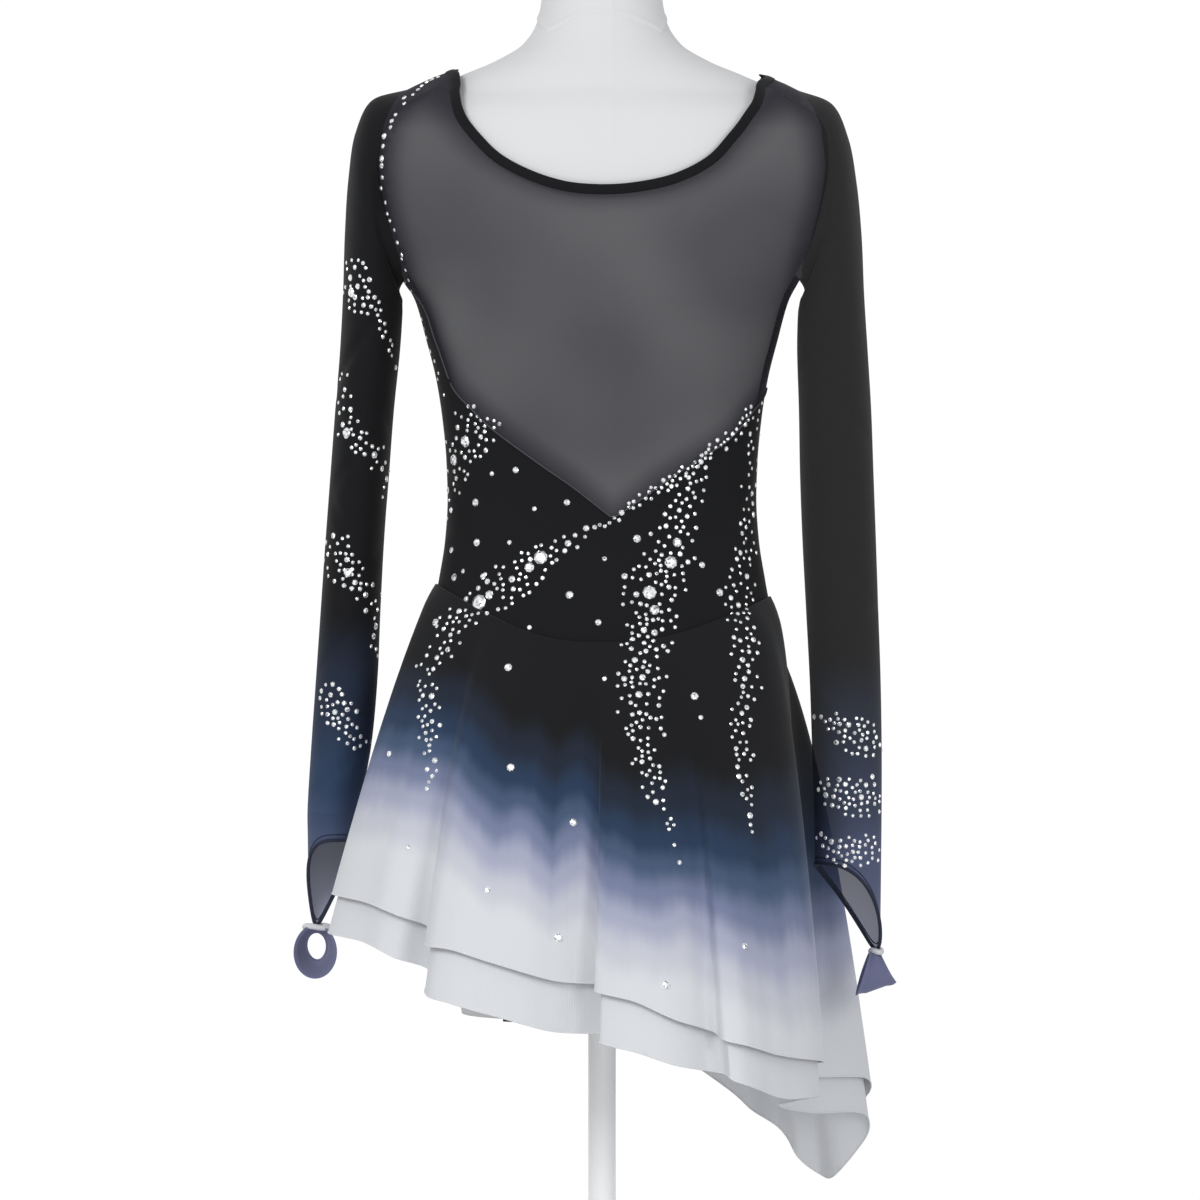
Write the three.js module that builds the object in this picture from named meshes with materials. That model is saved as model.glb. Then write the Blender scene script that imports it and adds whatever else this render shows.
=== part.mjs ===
// A figure skating dress on a limbless dress form, in millimetres, +Z up.
// The back of the dress faces -Y, the wearer's right is +X, and the stand's underside is at Z = 0.
import * as THREE from "three";

// Cloth and gaps
const CLOTH = 1.5; // wall of the bodice, mesh and sleeves
const SKIRT_CLOTH = 1.2; // wall of each skirt layer and the brief
const FORM_CLEAR = 3.8; // from the form to the inner face of the cloth, at its corner points
const SHOULDER_CLEAR = { more: 3.4, z: 950, tall: 17 }; // and this much more round the shoulders' tops
const SEAM = 0.2; // each panel's edge stands back this far from its seam line
const ARMHOLE_SEAM = 0.9; // and a sleeve's edge this far
const LAYER_GAP = 4; // between the two skirt layers, once they hang free
const BINDING_WIDTH = 7;
const BINDING_CLOTH = 1;
const BINDING_LIFT = 1.2; // from the panel's outer face to the binding

// Stand and neck
const FORM_BOTTOM = 214;
const POLE_RADIUS = 11;
const BASE_RADIUS = 150;
const BASE_HEIGHT = 12;

// Level slices of the figure: half width, depth to the back and to the front of its middle line,
// how far that line lies forward, and how boxy the slice is (2 is an ellipse)
const BODY = [
  { z: 214, wide: 116, back: 86, front: 76, mid: 0, boxy: 2.1 },
  { z: 280, wide: 126, back: 96, front: 82, mid: 0, boxy: 2.1 },
  { z: 340, wide: 136, back: 106, front: 87, mid: 0, boxy: 2.1 },
  { z: 400, wide: 140, back: 113, front: 91, mid: 0, boxy: 2.2 },
  { z: 440, wide: 141, back: 114, front: 93, mid: 0, boxy: 2.2 },
  { z: 480, wide: 140, back: 109, front: 93, mid: 0, boxy: 2.2 },
  { z: 520, wide: 136, back: 100, front: 91, mid: 0, boxy: 2.2 },
  { z: 560, wide: 129, back: 89, front: 87, mid: 0, boxy: 2.2 },
  { z: 592, wide: 124, back: 82, front: 84, mid: 0, boxy: 2.2 },
  { z: 624, wide: 122, back: 80, front: 85, mid: 0, boxy: 2.2 },
  { z: 656, wide: 123, back: 81, front: 89, mid: 0, boxy: 2.2 },
  { z: 688, wide: 126, back: 83, front: 96, mid: 0, boxy: 2.3 },
  { z: 720, wide: 131, back: 86, front: 106, mid: 0, boxy: 2.3 },
  { z: 752, wide: 139, back: 90, front: 116, mid: 0, boxy: 2.4 },
  { z: 784, wide: 148, back: 94, front: 120, mid: 0, boxy: 2.5 },
  { z: 799, wide: 156, back: 95, front: 120, mid: 0, boxy: 2.6 },
  { z: 815, wide: 165, back: 96, front: 118, mid: 0, boxy: 2.6 },
  { z: 831, wide: 172, back: 97, front: 115, mid: 0, boxy: 2.6 },
  { z: 862, wide: 180, back: 97, front: 107, mid: 0, boxy: 2.6 },
  { z: 890, wide: 185, back: 94, front: 98, mid: 0, boxy: 2.6 },
  { z: 915, wide: 184, back: 88, front: 88, mid: 1, boxy: 2.5 },
  { z: 933, wide: 177, back: 83, front: 80, mid: 2, boxy: 2.3 },
  { z: 944, wide: 167, back: 79, front: 76, mid: 3, boxy: 2.1 },
  { z: 952, wide: 153, back: 75, front: 72, mid: 4, boxy: 2 },
  { z: 960, wide: 136, back: 71, front: 67, mid: 5, boxy: 2 },
  { z: 968, wide: 115, back: 67, front: 63, mid: 6, boxy: 2 },
  { z: 978, wide: 89, back: 62, front: 59, mid: 7, boxy: 2 },
  { z: 992, wide: 66, back: 57, front: 56, mid: 9, boxy: 2 },
  { z: 1008, wide: 56, back: 53, front: 53, mid: 11, boxy: 2 },
  { z: 1030, wide: 52, back: 51, front: 51, mid: 13, boxy: 2 },
  { z: 1064, wide: 51, back: 50, front: 50, mid: 16, boxy: 2 },
];
const NECK_CAP = [
  { z: 1074, share: 0.95 },
  { z: 1081, share: 0.79 },
  { z: 1085, share: 0.5 },
];
// The bust cups the front: how far, at what turn from the front, how broad, how high and how tall
const CUP = { out: 9, turn: 27, spread: 17, z: 802, tall: 40 };

// Outlines of the panels: x and z as seen from behind, or from the front where it says front
const NECK_LEFT_Z = 968;
const NECK_RIGHT_Z = 964;
const BACK_NECKLINE = [
  { x: -113, z: 960 },
  { x: -112, z: 941.5 },
  { x: -106, z: 922 },
  { x: -94, z: 906.5 },
  { x: -79, z: 892 },
  { x: -57.5, z: 880 },
  { x: -31, z: 871 },
  { x: -2, z: 868 },
  { x: 28, z: 870 },
  { x: 57.5, z: 877 },
  { x: 82, z: 890 },
  { x: 100, z: 909.5 },
  { x: 116, z: 932 },
  { x: 123, z: 952.5 },
];
const FRONT_NECKLINE = [
  { x: -119, z: 960, front: true },
  { x: -117, z: 944, front: true },
  { x: -104, z: 921, front: true },
  { x: -76, z: 904, front: true },
  { x: -40, z: 896, front: true },
  { x: 0, z: 893, front: true },
  { x: 40, z: 896, front: true },
  { x: 76, z: 904, front: true },
  { x: 104, z: 920, front: true },
  { x: 118, z: 942, front: true },
  { x: 123, z: 958, front: true },
];
const SHOULDER_Z = 952;
const UNDERARM_Z = 800;
const ARMHOLE = [
  { x: 163, z: 940 },
  { x: 172, z: 919 },
  { x: 175, z: 893 },
  { x: 172, z: 862 },
  { x: 164, z: 830 },
  { x: 158, z: 811 },
];
const V_TIP = { x: 8, z: 608 };
const V_LEFT = [
  { x: -141, z: 779 },
  { x: -130, z: 749 },
  { x: -118, z: 715 },
  { x: -101, z: 694 },
  { x: -87, z: 680 },
  { x: -68, z: 665 },
  { x: -45, z: 648 },
  { x: -25, z: 634 },
];
const V_RIGHT_SIDE_Z = 714;
const V_RIGHT = [
  { x: 18, z: 614 },
  { x: 40, z: 630 },
  { x: 76, z: 655 },
  { x: 98, z: 670 },
  { x: 119, z: 695 },
];
const FRONT_SLANT = [
  { x: -110, z: 886, front: true },
  { x: -50, z: 875, front: true },
  { x: 20, z: 862, front: true },
  { x: 95, z: 838, front: true },
];

// The dropped waist seam dips to this height at the middle and lifts towards the sides
const WAIST_MIDDLE_Z = 510;
const WAIST_LIFT_LEFT = 46;
const WAIST_LIFT_RIGHT = 36;
const WAIST_LATE = 2.6; // how late round the side it lifts
const FRONT_ARMHOLE_IN = 3; // the front armholes are cut this much deeper than the back ones

// Sleeve rings, x away from the middle: outer and inner edge of each ring, half depth and middle y,
// and how far the ring's front and back bow out round the shoulder. Below the last ring is the hand cover:
// the height of its edge on the palm side, where its point lies and which way it faces, how far it draws in
// to the point, and how far below the point the finger loop starts
const SLEEVE_LEFT = {
  side: -1,
  rings: [
    { outX: 184, outZ: 944, inX: 162, inZ: 793, deep: 52, y: 4, bow: 9 },
    { outX: 197, outZ: 919, inX: 161.5, inZ: 789, deep: 53, y: 5, bow: 5.5 },
    { outX: 203, outZ: 882, inX: 160, inZ: 785, deep: 52, y: 7, bow: 4 },
    { outX: 206, outZ: 838, inX: 160, inZ: 780, deep: 50, y: 8, bow: 1 },
    { outX: 207.5, outZ: 790, inX: 160, inZ: 772, deep: 47, y: 8, bow: 0 },
    { outX: 210, outZ: 744, inX: 162, inZ: 744, deep: 45, y: 10, bow: 0 },
    { outX: 214, outZ: 696, inX: 167, inZ: 696, deep: 43, y: 12, bow: 0 },
    { outX: 218, outZ: 644, inX: 171, inZ: 644, deep: 41, y: 14, bow: 0 },
    { outX: 222, outZ: 592, inX: 175, inZ: 592, deep: 39, y: 16, bow: 0 },
    { outX: 226, outZ: 536, inX: 178, inZ: 536, deep: 37, y: 18, bow: 0 },
    { outX: 230, outZ: 480, inX: 180.5, inZ: 480, deep: 35, y: 20, bow: 0 },
    { outX: 234, outZ: 424, inX: 186, inZ: 424, deep: 32, y: 22, bow: 0 },
    { outX: 237, outZ: 374, inX: 196, inZ: 374, deep: 30, y: 24, bow: 0 },
  ],
  cuff: { nearZ: 352, tipZ: 281, tipX: 236, tipY: 44, tipTurn: 75, draw: 0.65, loopBelow: -0.2 },
};
const SLEEVE_RIGHT = {
  side: 1,
  rings: [
    { outX: 184, outZ: 941, inX: 162, inZ: 793, deep: 52, y: 4, bow: 9 },
    { outX: 197, outZ: 914, inX: 161, inZ: 789, deep: 53, y: 5, bow: 5.5 },
    { outX: 204, outZ: 877, inX: 159, inZ: 785, deep: 52, y: 7, bow: 4 },
    { outX: 208, outZ: 836, inX: 158, inZ: 780, deep: 50, y: 8, bow: 1 },
    { outX: 210, outZ: 790, inX: 157, inZ: 772, deep: 47, y: 8, bow: 0 },
    { outX: 213, outZ: 744, inX: 156.5, inZ: 744, deep: 44, y: 10, bow: 0 },
    { outX: 216, outZ: 696, inX: 158, inZ: 696, deep: 42, y: 12, bow: 0 },
    { outX: 218, outZ: 644, inX: 159, inZ: 644, deep: 40, y: 14, bow: 0 },
    { outX: 220, outZ: 592, inX: 161, inZ: 592, deep: 38, y: 16, bow: 0 },
    { outX: 222, outZ: 536, inX: 164, inZ: 536, deep: 36, y: 18, bow: 0 },
    { outX: 224, outZ: 480, inX: 167, inZ: 480, deep: 34, y: 20, bow: 0 },
    { outX: 225, outZ: 424, inX: 169, inZ: 424, deep: 32, y: 22, bow: 0 },
    { outX: 225, outZ: 366, inX: 171, inZ: 366, deep: 30, y: 24, bow: 0 },
  ],
  cuff: { nearZ: 333, tipZ: 262, tipX: 223, tipY: 36, tipTurn: 35, draw: 0.45, loopBelow: -0.7 },
};

const COVER_SHARES = [0.35, 0.7, 1]; // rows of the hand cover, as shares of its length
const COVER_SHARP = 1.6; // how sharply it runs out to its point
const RINGS_TO_SPREAD = 4; // rings until a sleeve's points are evenly spread

// Folds of the skirt, from the middle of the back round by the right side: the turn at the waist seam,
// where the fold's hem hangs, the hem heights of the two layers, and how late the fold opens
const FOLDS = [
  { turn: -3, x: -1.5, y: -150, upper: 248, under: 210, late: 1.1 },
  { turn: 2, x: -2.5, y: -174, upper: 244, under: 206, late: 1.1 },
  { turn: 10, x: 27, y: -186, upper: 237, under: 200, late: 1.1 },
  { turn: 18, x: 57, y: -184, upper: 223, under: 190, late: 1.1 },
  { turn: 26, x: 86, y: -169, upper: 213, under: 183, late: 1 },
  { turn: 32, x: 95, y: -187, upper: 208, under: 180, late: 1 },
  { turn: 39, x: 118, y: -178, upper: 201, under: 172, late: 1 },
  { turn: 51, x: 144, y: -150, upper: 192, under: 161, late: 0.8 },
  { turn: 67, x: 172, y: -100, upper: 184, under: 158, late: 0.6 },
  { turn: 81, x: 152, y: -34, upper: 176, under: 146, late: 1 },
  { turn: 95, x: 150, y: 22, upper: 166, under: 136, late: 1 },
  { turn: 106, x: 172, y: 74, upper: 156, under: 126, late: 0.8 },
  { turn: 116, x: 219, y: 112, upper: 148, under: 118, late: 0.5 },
  { turn: 125, x: 184, y: 136, upper: 104, under: 66, late: 0.9 },
  { turn: 134, x: 150, y: 150, upper: 134, under: 99, late: 1 },
  { turn: 143, x: 112, y: 152, upper: 164, under: 132, late: 1.1 },
  { turn: 154, x: 72, y: 170, upper: 192, under: 160, late: 1.1 },
  { turn: 167, x: 36, y: 150, upper: 210, under: 178, late: 1.1 },
  { turn: 180, x: -8, y: 168, upper: 228, under: 196, late: 1.1 },
  { turn: 194, x: -56, y: 146, upper: 244, under: 212, late: 1.1 },
  { turn: 208, x: -98, y: 158, upper: 262, under: 230, late: 1.1 },
  { turn: 222, x: -134, y: 124, upper: 280, under: 250, late: 1 },
  { turn: 240, x: -180, y: 100, upper: 300, under: 270, late: 0.9 },
  { turn: 258, x: -160, y: 34, upper: 308, under: 280, late: 1 },
  { turn: 271, x: -160, y: -20, upper: 312, under: 284, late: 1 },
  { turn: 284, x: -211, y: -60, upper: 313, under: 284, late: 1.1 },
  { turn: 298, x: -183, y: -100, upper: 308, under: 279, late: 1.1 },
  { turn: 306, x: -158, y: -119, upper: 299, under: 268, late: 1.1 },
  { turn: 312, x: -134, y: -116, upper: 290, under: 258, late: 1.1 },
  { turn: 317, x: -135, y: -142, upper: 278, under: 242, late: 1.1 },
  { turn: 324, x: -114, y: -160, upper: 275, under: 236, late: 1.1 },
  { turn: 335, x: -78, y: -168, upper: 264, under: 226, late: 1.1 },
  { turn: 347, x: -38, y: -162, upper: 252, under: 214, late: 1.1 },
];
// The round flare that the folds lie on: its half sizes at the hem, and how fast it opens each side
const FLARE = { left: 190, right: 178, back: 152, front: 142, fastRight: 0.27, fastLeft: 0.5 };
const FLARE_START = 0.04;
const FOLD_STEPS = 2; // columns from one fold row to the next
const SKIRT_LEVELS = [0, 0.04, 0.1, 0.18, 0.28, 0.41, 0.55, 0.7, 0.85, 1];
const SKIRT_OUT = 3.6; // from the figure to the upper layer at the waist seam
const LAYERS_PART_BY = 0.25; // the share of the drop over which the two layers part
const FOLD_REACH = 0.7; // rows to each side that a fold's normal is taken over, so that tight folds keep their wall

// The brief's leg edge, and its gusset beside the stand's pole
const LEG = { low: 217, high: 312, middle: -33, half: 18, spread: 60 };
const BRIEF = { rows: 6, columns: 36, top: 0.9 }; // its top lies this far under the bodice's lower edge
const GUSSET = { left: -78, right: -23, steps: 5, top: 216.4, under: 0.8 };

// Finger loops: the ring's half sizes, its wall, and the strip's width at the knot and below
const LOOP = { across: 13.5, tall: 15.5, wall: 3, knotWidth: 9, lowWidth: 30, points: 20 };

const COLOURS = {
  form: "#dcdcd8",
  pole: "#e6e6e4",
  black: "#1e1e21",
  sheer: "#2c2c30",
  navy: "#2b3850",
  pale: "#b9bdd0",
};

// How panels are netted: mm for one degree of turn, how fast the sides' bow fades towards the middle,
// rounds of evening out, and the least spread of a corner where the outline is moved in
const ROUND_MM = 2.4;
const BOW_FADE = 4;
const EVEN_ROUNDS = 120;
const LEAST_SPREAD = 0.5;

const radians = THREE.MathUtils.degToRad;
const mix = THREE.MathUtils.lerp;

// A smooth value through rows, by the rows' own heights or turns.
function follow(rows, by, column, at) {
  let i = 0;
  while (i < rows.length - 2 && rows[i + 1][by] <= at) i += 1;
  const span = rows[i + 1][by] - rows[i][by];
  const share = THREE.MathUtils.clamp((at - rows[i][by]) / span, 0, 1);
  const rise = (rows[i + 1][column] - rows[i][column]) / span;
  const before = i > 0 ? (rows[i][column] - rows[i - 1][column]) / (rows[i][by] - rows[i - 1][by]) : rise;
  const last = i + 2 < rows.length;
  const after = last ? (rows[i + 2][column] - rows[i + 1][column]) / (rows[i + 2][by] - rows[i + 1][by]) : rise;
  const startSlope = before * rise > 0 ? (2 * before * rise) / (before + rise) : 0;
  const endSlope = after * rise > 0 ? (2 * after * rise) / (after + rise) : 0;
  const s2 = share * share;
  const s3 = s2 * share;
  return (
    rows[i][column] * (2 * s3 - 3 * s2 + 1) +
    rows[i + 1][column] * (3 * s2 - 2 * s3) +
    span * (startSlope * (s3 - 2 * s2 + share) + endSlope * (s3 - s2))
  );
}

function slice(z) {
  return {
    wide: follow(BODY, "z", "wide", z),
    back: follow(BODY, "z", "back", z),
    front: follow(BODY, "z", "front", z),
    mid: follow(BODY, "z", "mid", z),
    boxy: follow(BODY, "z", "boxy", z),
  };
}

// A point of the figure's surface: turn 0 is the middle of the back, 90 the wearer's right side.
function bodyPoint(turn, z) {
  const s = slice(z);
  const sine = Math.sin(radians(turn));
  const cosine = Math.cos(radians(turn));
  const deep = cosine > 0 ? s.back : s.front;
  const across = Math.abs(sine / s.wide) ** s.boxy;
  const along = Math.abs(cosine / deep) ** s.boxy;
  const fromFront = Math.abs(((turn % 360) + 360) % 360 - 180);
  const cupTurn = Math.exp(-(((fromFront - CUP.turn) / CUP.spread) ** 2));
  const cup = CUP.out * cupTurn * Math.exp(-(((z - CUP.z) / CUP.tall) ** 2));
  const reach = (across + along) ** (-1 / s.boxy) + cup;
  return new THREE.Vector3(reach * sine, s.mid - reach * cosine, z);
}

// A point that far out from the figure, along its own normal.
function onBody(turn, z, out) {
  const step = 0.6;
  const round = bodyPoint(turn + step, z).sub(bodyPoint(turn - step, z));
  const up = bodyPoint(turn, z + step).sub(bodyPoint(turn, z - step));
  const normal = round.cross(up).normalize();
  return bodyPoint(turn, z).addScaledVector(normal, out);
}

// A mark on an outline, from its x and z to its turn and z.
function mark({ x, z, turn, front }) {
  if (turn !== undefined) return { turn, z };
  const s = slice(z);
  const share = Math.min(1, Math.abs(x) / s.wide);
  const deep = (front ? s.front : s.back) * (1 - share ** s.boxy) ** (1 / s.boxy);
  const angle = THREE.MathUtils.radToDeg(Math.atan2(x, front ? -deep : deep));
  return { turn: front && angle < 0 ? angle + 360 : angle, z };
}

// Points at the given shares of a smooth line through marks, turned into millimetres round the body.
function line(marks, shares) {
  const points = marks.map((row) => {
    const { turn, z } = mark(row);
    return new THREE.Vector3(turn * ROUND_MM, z, 0);
  });
  const path = new THREE.CatmullRomCurve3(points, false, "centripetal");
  return shares.map((share) => {
    const p = path.getPointAt(share);
    return { turn: p.x / ROUND_MM, z: p.y };
  });
}

const even = (count) => Array.from({ length: count + 1 }, (_, i) => i / count);
const join = (...lines) => lines.flatMap((points, i) => (i ? points.slice(1) : points));
const reversed = (points) => [...points].reverse();
const shifted = (points, turn) => points.map((p) => ({ turn: p.turn + turn, z: p.z }));

// A closed wall between an outer and an inner grid of points, each a list of rows.
function wallMesh(name, outer, inner, roundRows, colour) {
  const rows = outer.length;
  const columns = outer[0].length;
  const corners = [];
  for (const grid of [outer, inner]) {
    for (const row of grid) {
      for (const p of row) corners.push(p.x, p.y, p.z);
    }
  }
  const at = (layer, i, j) => layer * rows * columns + i * columns + (j % columns);
  const faces = [];
  const quad = (a, b, c, d) => faces.push(a, b, c, a, c, d);
  const across = roundRows ? columns : columns - 1;
  for (let i = 0; i < rows - 1; i += 1) {
    for (let j = 0; j < across; j += 1) {
      quad(at(0, i, j), at(0, i, j + 1), at(0, i + 1, j + 1), at(0, i + 1, j));
      quad(at(1, i, j), at(1, i + 1, j), at(1, i + 1, j + 1), at(1, i, j + 1));
    }
  }
  for (let j = 0; j < across; j += 1) {
    quad(at(0, 0, j + 1), at(0, 0, j), at(1, 0, j), at(1, 0, j + 1));
    quad(at(0, rows - 1, j), at(0, rows - 1, j + 1), at(1, rows - 1, j + 1), at(1, rows - 1, j));
  }
  if (!roundRows) {
    const end = columns - 1;
    for (let i = 0; i < rows - 1; i += 1) {
      quad(at(0, i, 0), at(0, i + 1, 0), at(1, i + 1, 0), at(1, i, 0));
      quad(at(0, i + 1, end), at(0, i, end), at(1, i, end), at(1, i + 1, end));
    }
  }
  return solidMesh(name, corners, faces, colour);
}

// Turns the faces outwards, whichever way the grid ran.
function solidMesh(name, corners, faces, colour) {
  const p = (i) => new THREE.Vector3(corners[3 * i], corners[3 * i + 1], corners[3 * i + 2]);
  let volume = 0;
  for (let i = 0; i < faces.length; i += 3) {
    volume += p(faces[i]).dot(p(faces[i + 1]).cross(p(faces[i + 2])));
  }
  if (volume < 0) {
    for (let i = 0; i < faces.length; i += 3) {
      [faces[i + 1], faces[i + 2]] = [faces[i + 2], faces[i + 1]];
    }
  }
  const geometry = new THREE.BufferGeometry();
  geometry.setAttribute("position", new THREE.Float32BufferAttribute(corners, 3));
  geometry.setIndex(faces);
  geometry.computeVertexNormals();
  return meshOf(name, geometry, colour);
}

function meshOf(name, geometry, colour) {
  const material = new THREE.MeshStandardMaterial({ color: colour, roughness: 0.8, metalness: 0 });
  const mesh = new THREE.Mesh(geometry, material);
  mesh.name = name;
  return mesh;
}

// Moves a panel's outline inwards to leave its half of the seam gap.
function inset(outline, amount) {
  const flat = outline.map((p) => new THREE.Vector2(p.turn * ROUND_MM, p.z));
  let area = 0;
  flat.forEach((p, i) => {
    const next = flat[(i + 1) % flat.length];
    area += p.cross(next);
  });
  const sign = area > 0 ? 1 : -1;
  return flat.map((p, i) => {
    const before = flat[(i + flat.length - 1) % flat.length];
    const after = flat[(i + 1) % flat.length];
    const a = p.clone().sub(before).normalize();
    const b = after.clone().sub(p).normalize();
    const normal = new THREE.Vector2(-(a.y + b.y), a.x + b.x).normalize();
    const spread = Math.max(LEAST_SPREAD, Math.abs(normal.x * -a.y + normal.y * a.x));
    p.addScaledVector(normal, (sign * amount) / spread);
    return { turn: p.x / ROUND_MM, z: p.y };
  });
}

// How far along two opposite sides each of their points lies, as the mean of their shares.
function meanShares(one, other) {
  const shares = [one, other].map((points) => {
    const lengths = [0];
    points.slice(1).forEach((p, i) => {
      const step = Math.hypot((p.turn - points[i].turn) * ROUND_MM, p.z - points[i].z);
      lengths.push(lengths[i] + step);
    });
    return lengths.map((length) => length / lengths[lengths.length - 1]);
  });
  return shares[0].map((share, i) => (share + shares[1][i]) / 2);
}

// Spreads a net's inner points so that its rows and columns run smoothly and never fold over each other.
function evenOut(net) {
  for (let round = 0; round < EVEN_ROUNDS; round += 1) {
    for (let i = 1; i < net.length - 1; i += 1) {
      for (let j = 1; j < net[i].length - 1; j += 1) {
        const [left, right, above, below] = [net[i][j - 1], net[i][j + 1], net[i - 1][j], net[i + 1][j]];
        const across = right.clone().sub(left).divideScalar(2);
        const down = below.clone().sub(above).divideScalar(2);
        const twist = net[i + 1][j + 1].clone().sub(net[i - 1][j + 1]);
        twist.sub(net[i + 1][j - 1]).add(net[i - 1][j - 1]).divideScalar(4);
        const [wide, tall, lean] = [across.lengthSq(), down.lengthSq(), across.dot(down)];
        net[i][j] = left.clone().add(right).multiplyScalar(tall);
        net[i][j].addScaledVector(above, wide).addScaledVector(below, wide);
        net[i][j].addScaledVector(twist, -2 * lean).divideScalar(2 * (wide + tall));
      }
    }
  }
}

// A panel of cloth on the figure inside four sides: top and bottom run one way, left and right run down.
// Its inner points run straight from top to bottom, bow with the sides near them, and are evened out.
function panel(name, { top, bottom, left, right }, colour) {
  const columns = top.length - 1;
  const rows = left.length - 1;
  const round = [
    ...top,
    ...right.slice(1),
    ...reversed(bottom).slice(1),
    ...reversed(left).slice(1, -1),
  ];
  const edge = inset(round, SEAM);
  const topEdge = edge.slice(0, columns + 1);
  const rightEdge = edge.slice(columns, columns + rows + 1);
  const bottomEdge = reversed(edge.slice(columns + rows, 2 * columns + rows + 1));
  const leftEdge = reversed([...edge.slice(2 * columns + rows), edge[0]]);
  const across = meanShares(topEdge, bottomEdge);
  const down = meanShares(leftEdge, rightEdge);
  const blend = (i, j, key) => {
    const u = across[j];
    const v = down[i];
    const bowLeft = leftEdge[i][key] - mix(topEdge[0][key], bottomEdge[0][key], v);
    const bowRight = rightEdge[i][key] - mix(topEdge[columns][key], bottomEdge[columns][key], v);
    return mix(topEdge[j][key], bottomEdge[j][key], v) + bowLeft * (1 - u) ** BOW_FADE + bowRight * u ** BOW_FADE;
  };
  const net = even(rows).map((_, i) =>
    even(columns).map((__, j) => new THREE.Vector2(blend(i, j, "turn") * ROUND_MM, blend(i, j, "z"))),
  );
  evenOut(net);
  const grid = (out) => net.map((row) => row.map((p) => onBody(p.x / ROUND_MM, p.y, out)));
  return wallMesh(name, grid(CLOTH), grid(0), false, colour);
}

// Seam lines, each made once and used by the pieces on both of its sides
const waistZ = (turn) => {
  const sine = Math.sin(radians(turn));
  const lift = sine < 0 ? WAIST_LIFT_LEFT : WAIST_LIFT_RIGHT;
  return WAIST_MIDDLE_Z + lift * Math.abs(sine) ** WAIST_LATE;
};
const ARMHOLE_SHARES = [0, 0.05, 0.12, 0.22, 0.36, 0.52, 0.68, 0.84, 1];
const armhole = (side, front) => {
  const turn = front && side < 0 ? 270 : side * 90;
  const marks = ARMHOLE.map(({ x, z }) => ({ x: side * (front ? x - FRONT_ARMHOLE_IN : x), z, front }));
  return line([{ turn, z: SHOULDER_Z }, ...marks, { turn, z: UNDERARM_Z }], ARMHOLE_SHARES);
};
const armholes = {
  backLeft: armhole(-1, false),
  frontLeft: armhole(-1, true),
  backRight: armhole(1, false),
  frontRight: armhole(1, true),
};
const SHOULDER_STEPS = 2;
const shoulder = (turn, neckZ) =>
  even(SHOULDER_STEPS).map((share) => ({ turn, z: mix(SHOULDER_Z, neckZ, share) }));
const shoulderLeft = shoulder(-90, NECK_LEFT_Z);
const shoulderRight = shoulder(90, NECK_RIGHT_Z);
const backNeck = line(
  [{ turn: -90, z: NECK_LEFT_Z }, ...BACK_NECKLINE, { turn: 90, z: NECK_RIGHT_Z }],
  even(20),
);
const FRONT_NECK_STEPS = 18;
const frontNeck = line(
  [{ turn: 270, z: NECK_LEFT_Z }, ...FRONT_NECKLINE, { turn: 90, z: NECK_RIGHT_Z }],
  even(FRONT_NECK_STEPS),
);
const vLine = join(
  line([{ turn: -90, z: UNDERARM_Z }, ...V_LEFT, V_TIP], even(14)),
  line([V_TIP, ...V_RIGHT, { turn: 90, z: V_RIGHT_SIDE_Z }], even(10)),
);
const waistLine = (from, to, count) =>
  even(count).map((share) => {
    const turn = mix(from, to, share);
    return { turn, z: waistZ(turn) };
  });
const sideSeam = (turn, from, to, count) =>
  even(count).map((share) => ({ turn, z: mix(from, to, share) }));
const sideRightUpper = sideSeam(90, UNDERARM_Z, V_RIGHT_SIDE_Z, 3);
const sideRightLower = sideSeam(90, V_RIGHT_SIDE_Z, waistZ(90), 6);
// The sheer yoke ends at these points of the front armholes, and the slant runs from one to the other.
const YOKE_LEFT_END = 4;
const YOKE_RIGHT_END = 6;
const frontSlant = line(
  [armholes.frontLeft[YOKE_LEFT_END], ...FRONT_SLANT, armholes.frontRight[YOKE_RIGHT_END]],
  even(FRONT_NECK_STEPS + 2 * SHOULDER_STEPS),
);

// The same line with more points: the longest step is halved each time, so shared points stay.
function finer(points, steps) {
  const out = [...points];
  const length = (i) => Math.hypot((out[i + 1].turn - out[i].turn) * ROUND_MM, out[i + 1].z - out[i].z);
  while (out.length < steps + 1) {
    let longest = 0;
    for (let i = 1; i < out.length - 1; i += 1) {
      if (length(i) > length(longest)) longest = i;
    }
    const [a, b] = [out[longest], out[longest + 1]];
    out.splice(longest + 1, 0, { turn: mix(a.turn, b.turn, 0.5), z: mix(a.z, b.z, 0.5) });
  }
  return out;
}

function backMesh() {
  const right = join(armholes.backRight, sideRightUpper);
  return panel(
    "back_mesh",
    {
      top: join(shoulderLeft, backNeck, reversed(shoulderRight)),
      bottom: vLine,
      left: finer(armholes.backLeft, right.length - 1),
      right,
    },
    COLOURS.sheer,
  );
}

function backBodice() {
  const right = sideRightLower;
  return panel(
    "back_bodice",
    {
      top: vLine,
      bottom: waistLine(-90, 90, vLine.length - 1),
      left: sideSeam(-90, UNDERARM_Z, waistZ(-90), right.length - 1),
      right,
    },
    COLOURS.black,
  );
}

function frontBodice() {
  const left = join(armholes.frontLeft.slice(YOKE_LEFT_END), sideSeam(270, UNDERARM_Z, waistZ(270), 8));
  return panel(
    "front_bodice",
    {
      top: frontSlant,
      bottom: waistLine(270, 90, frontSlant.length - 1),
      left,
      right: finer(
        join(armholes.frontRight.slice(YOKE_RIGHT_END), sideRightUpper, sideRightLower),
        left.length - 1,
      ),
    },
    COLOURS.black,
  );
}

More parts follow.
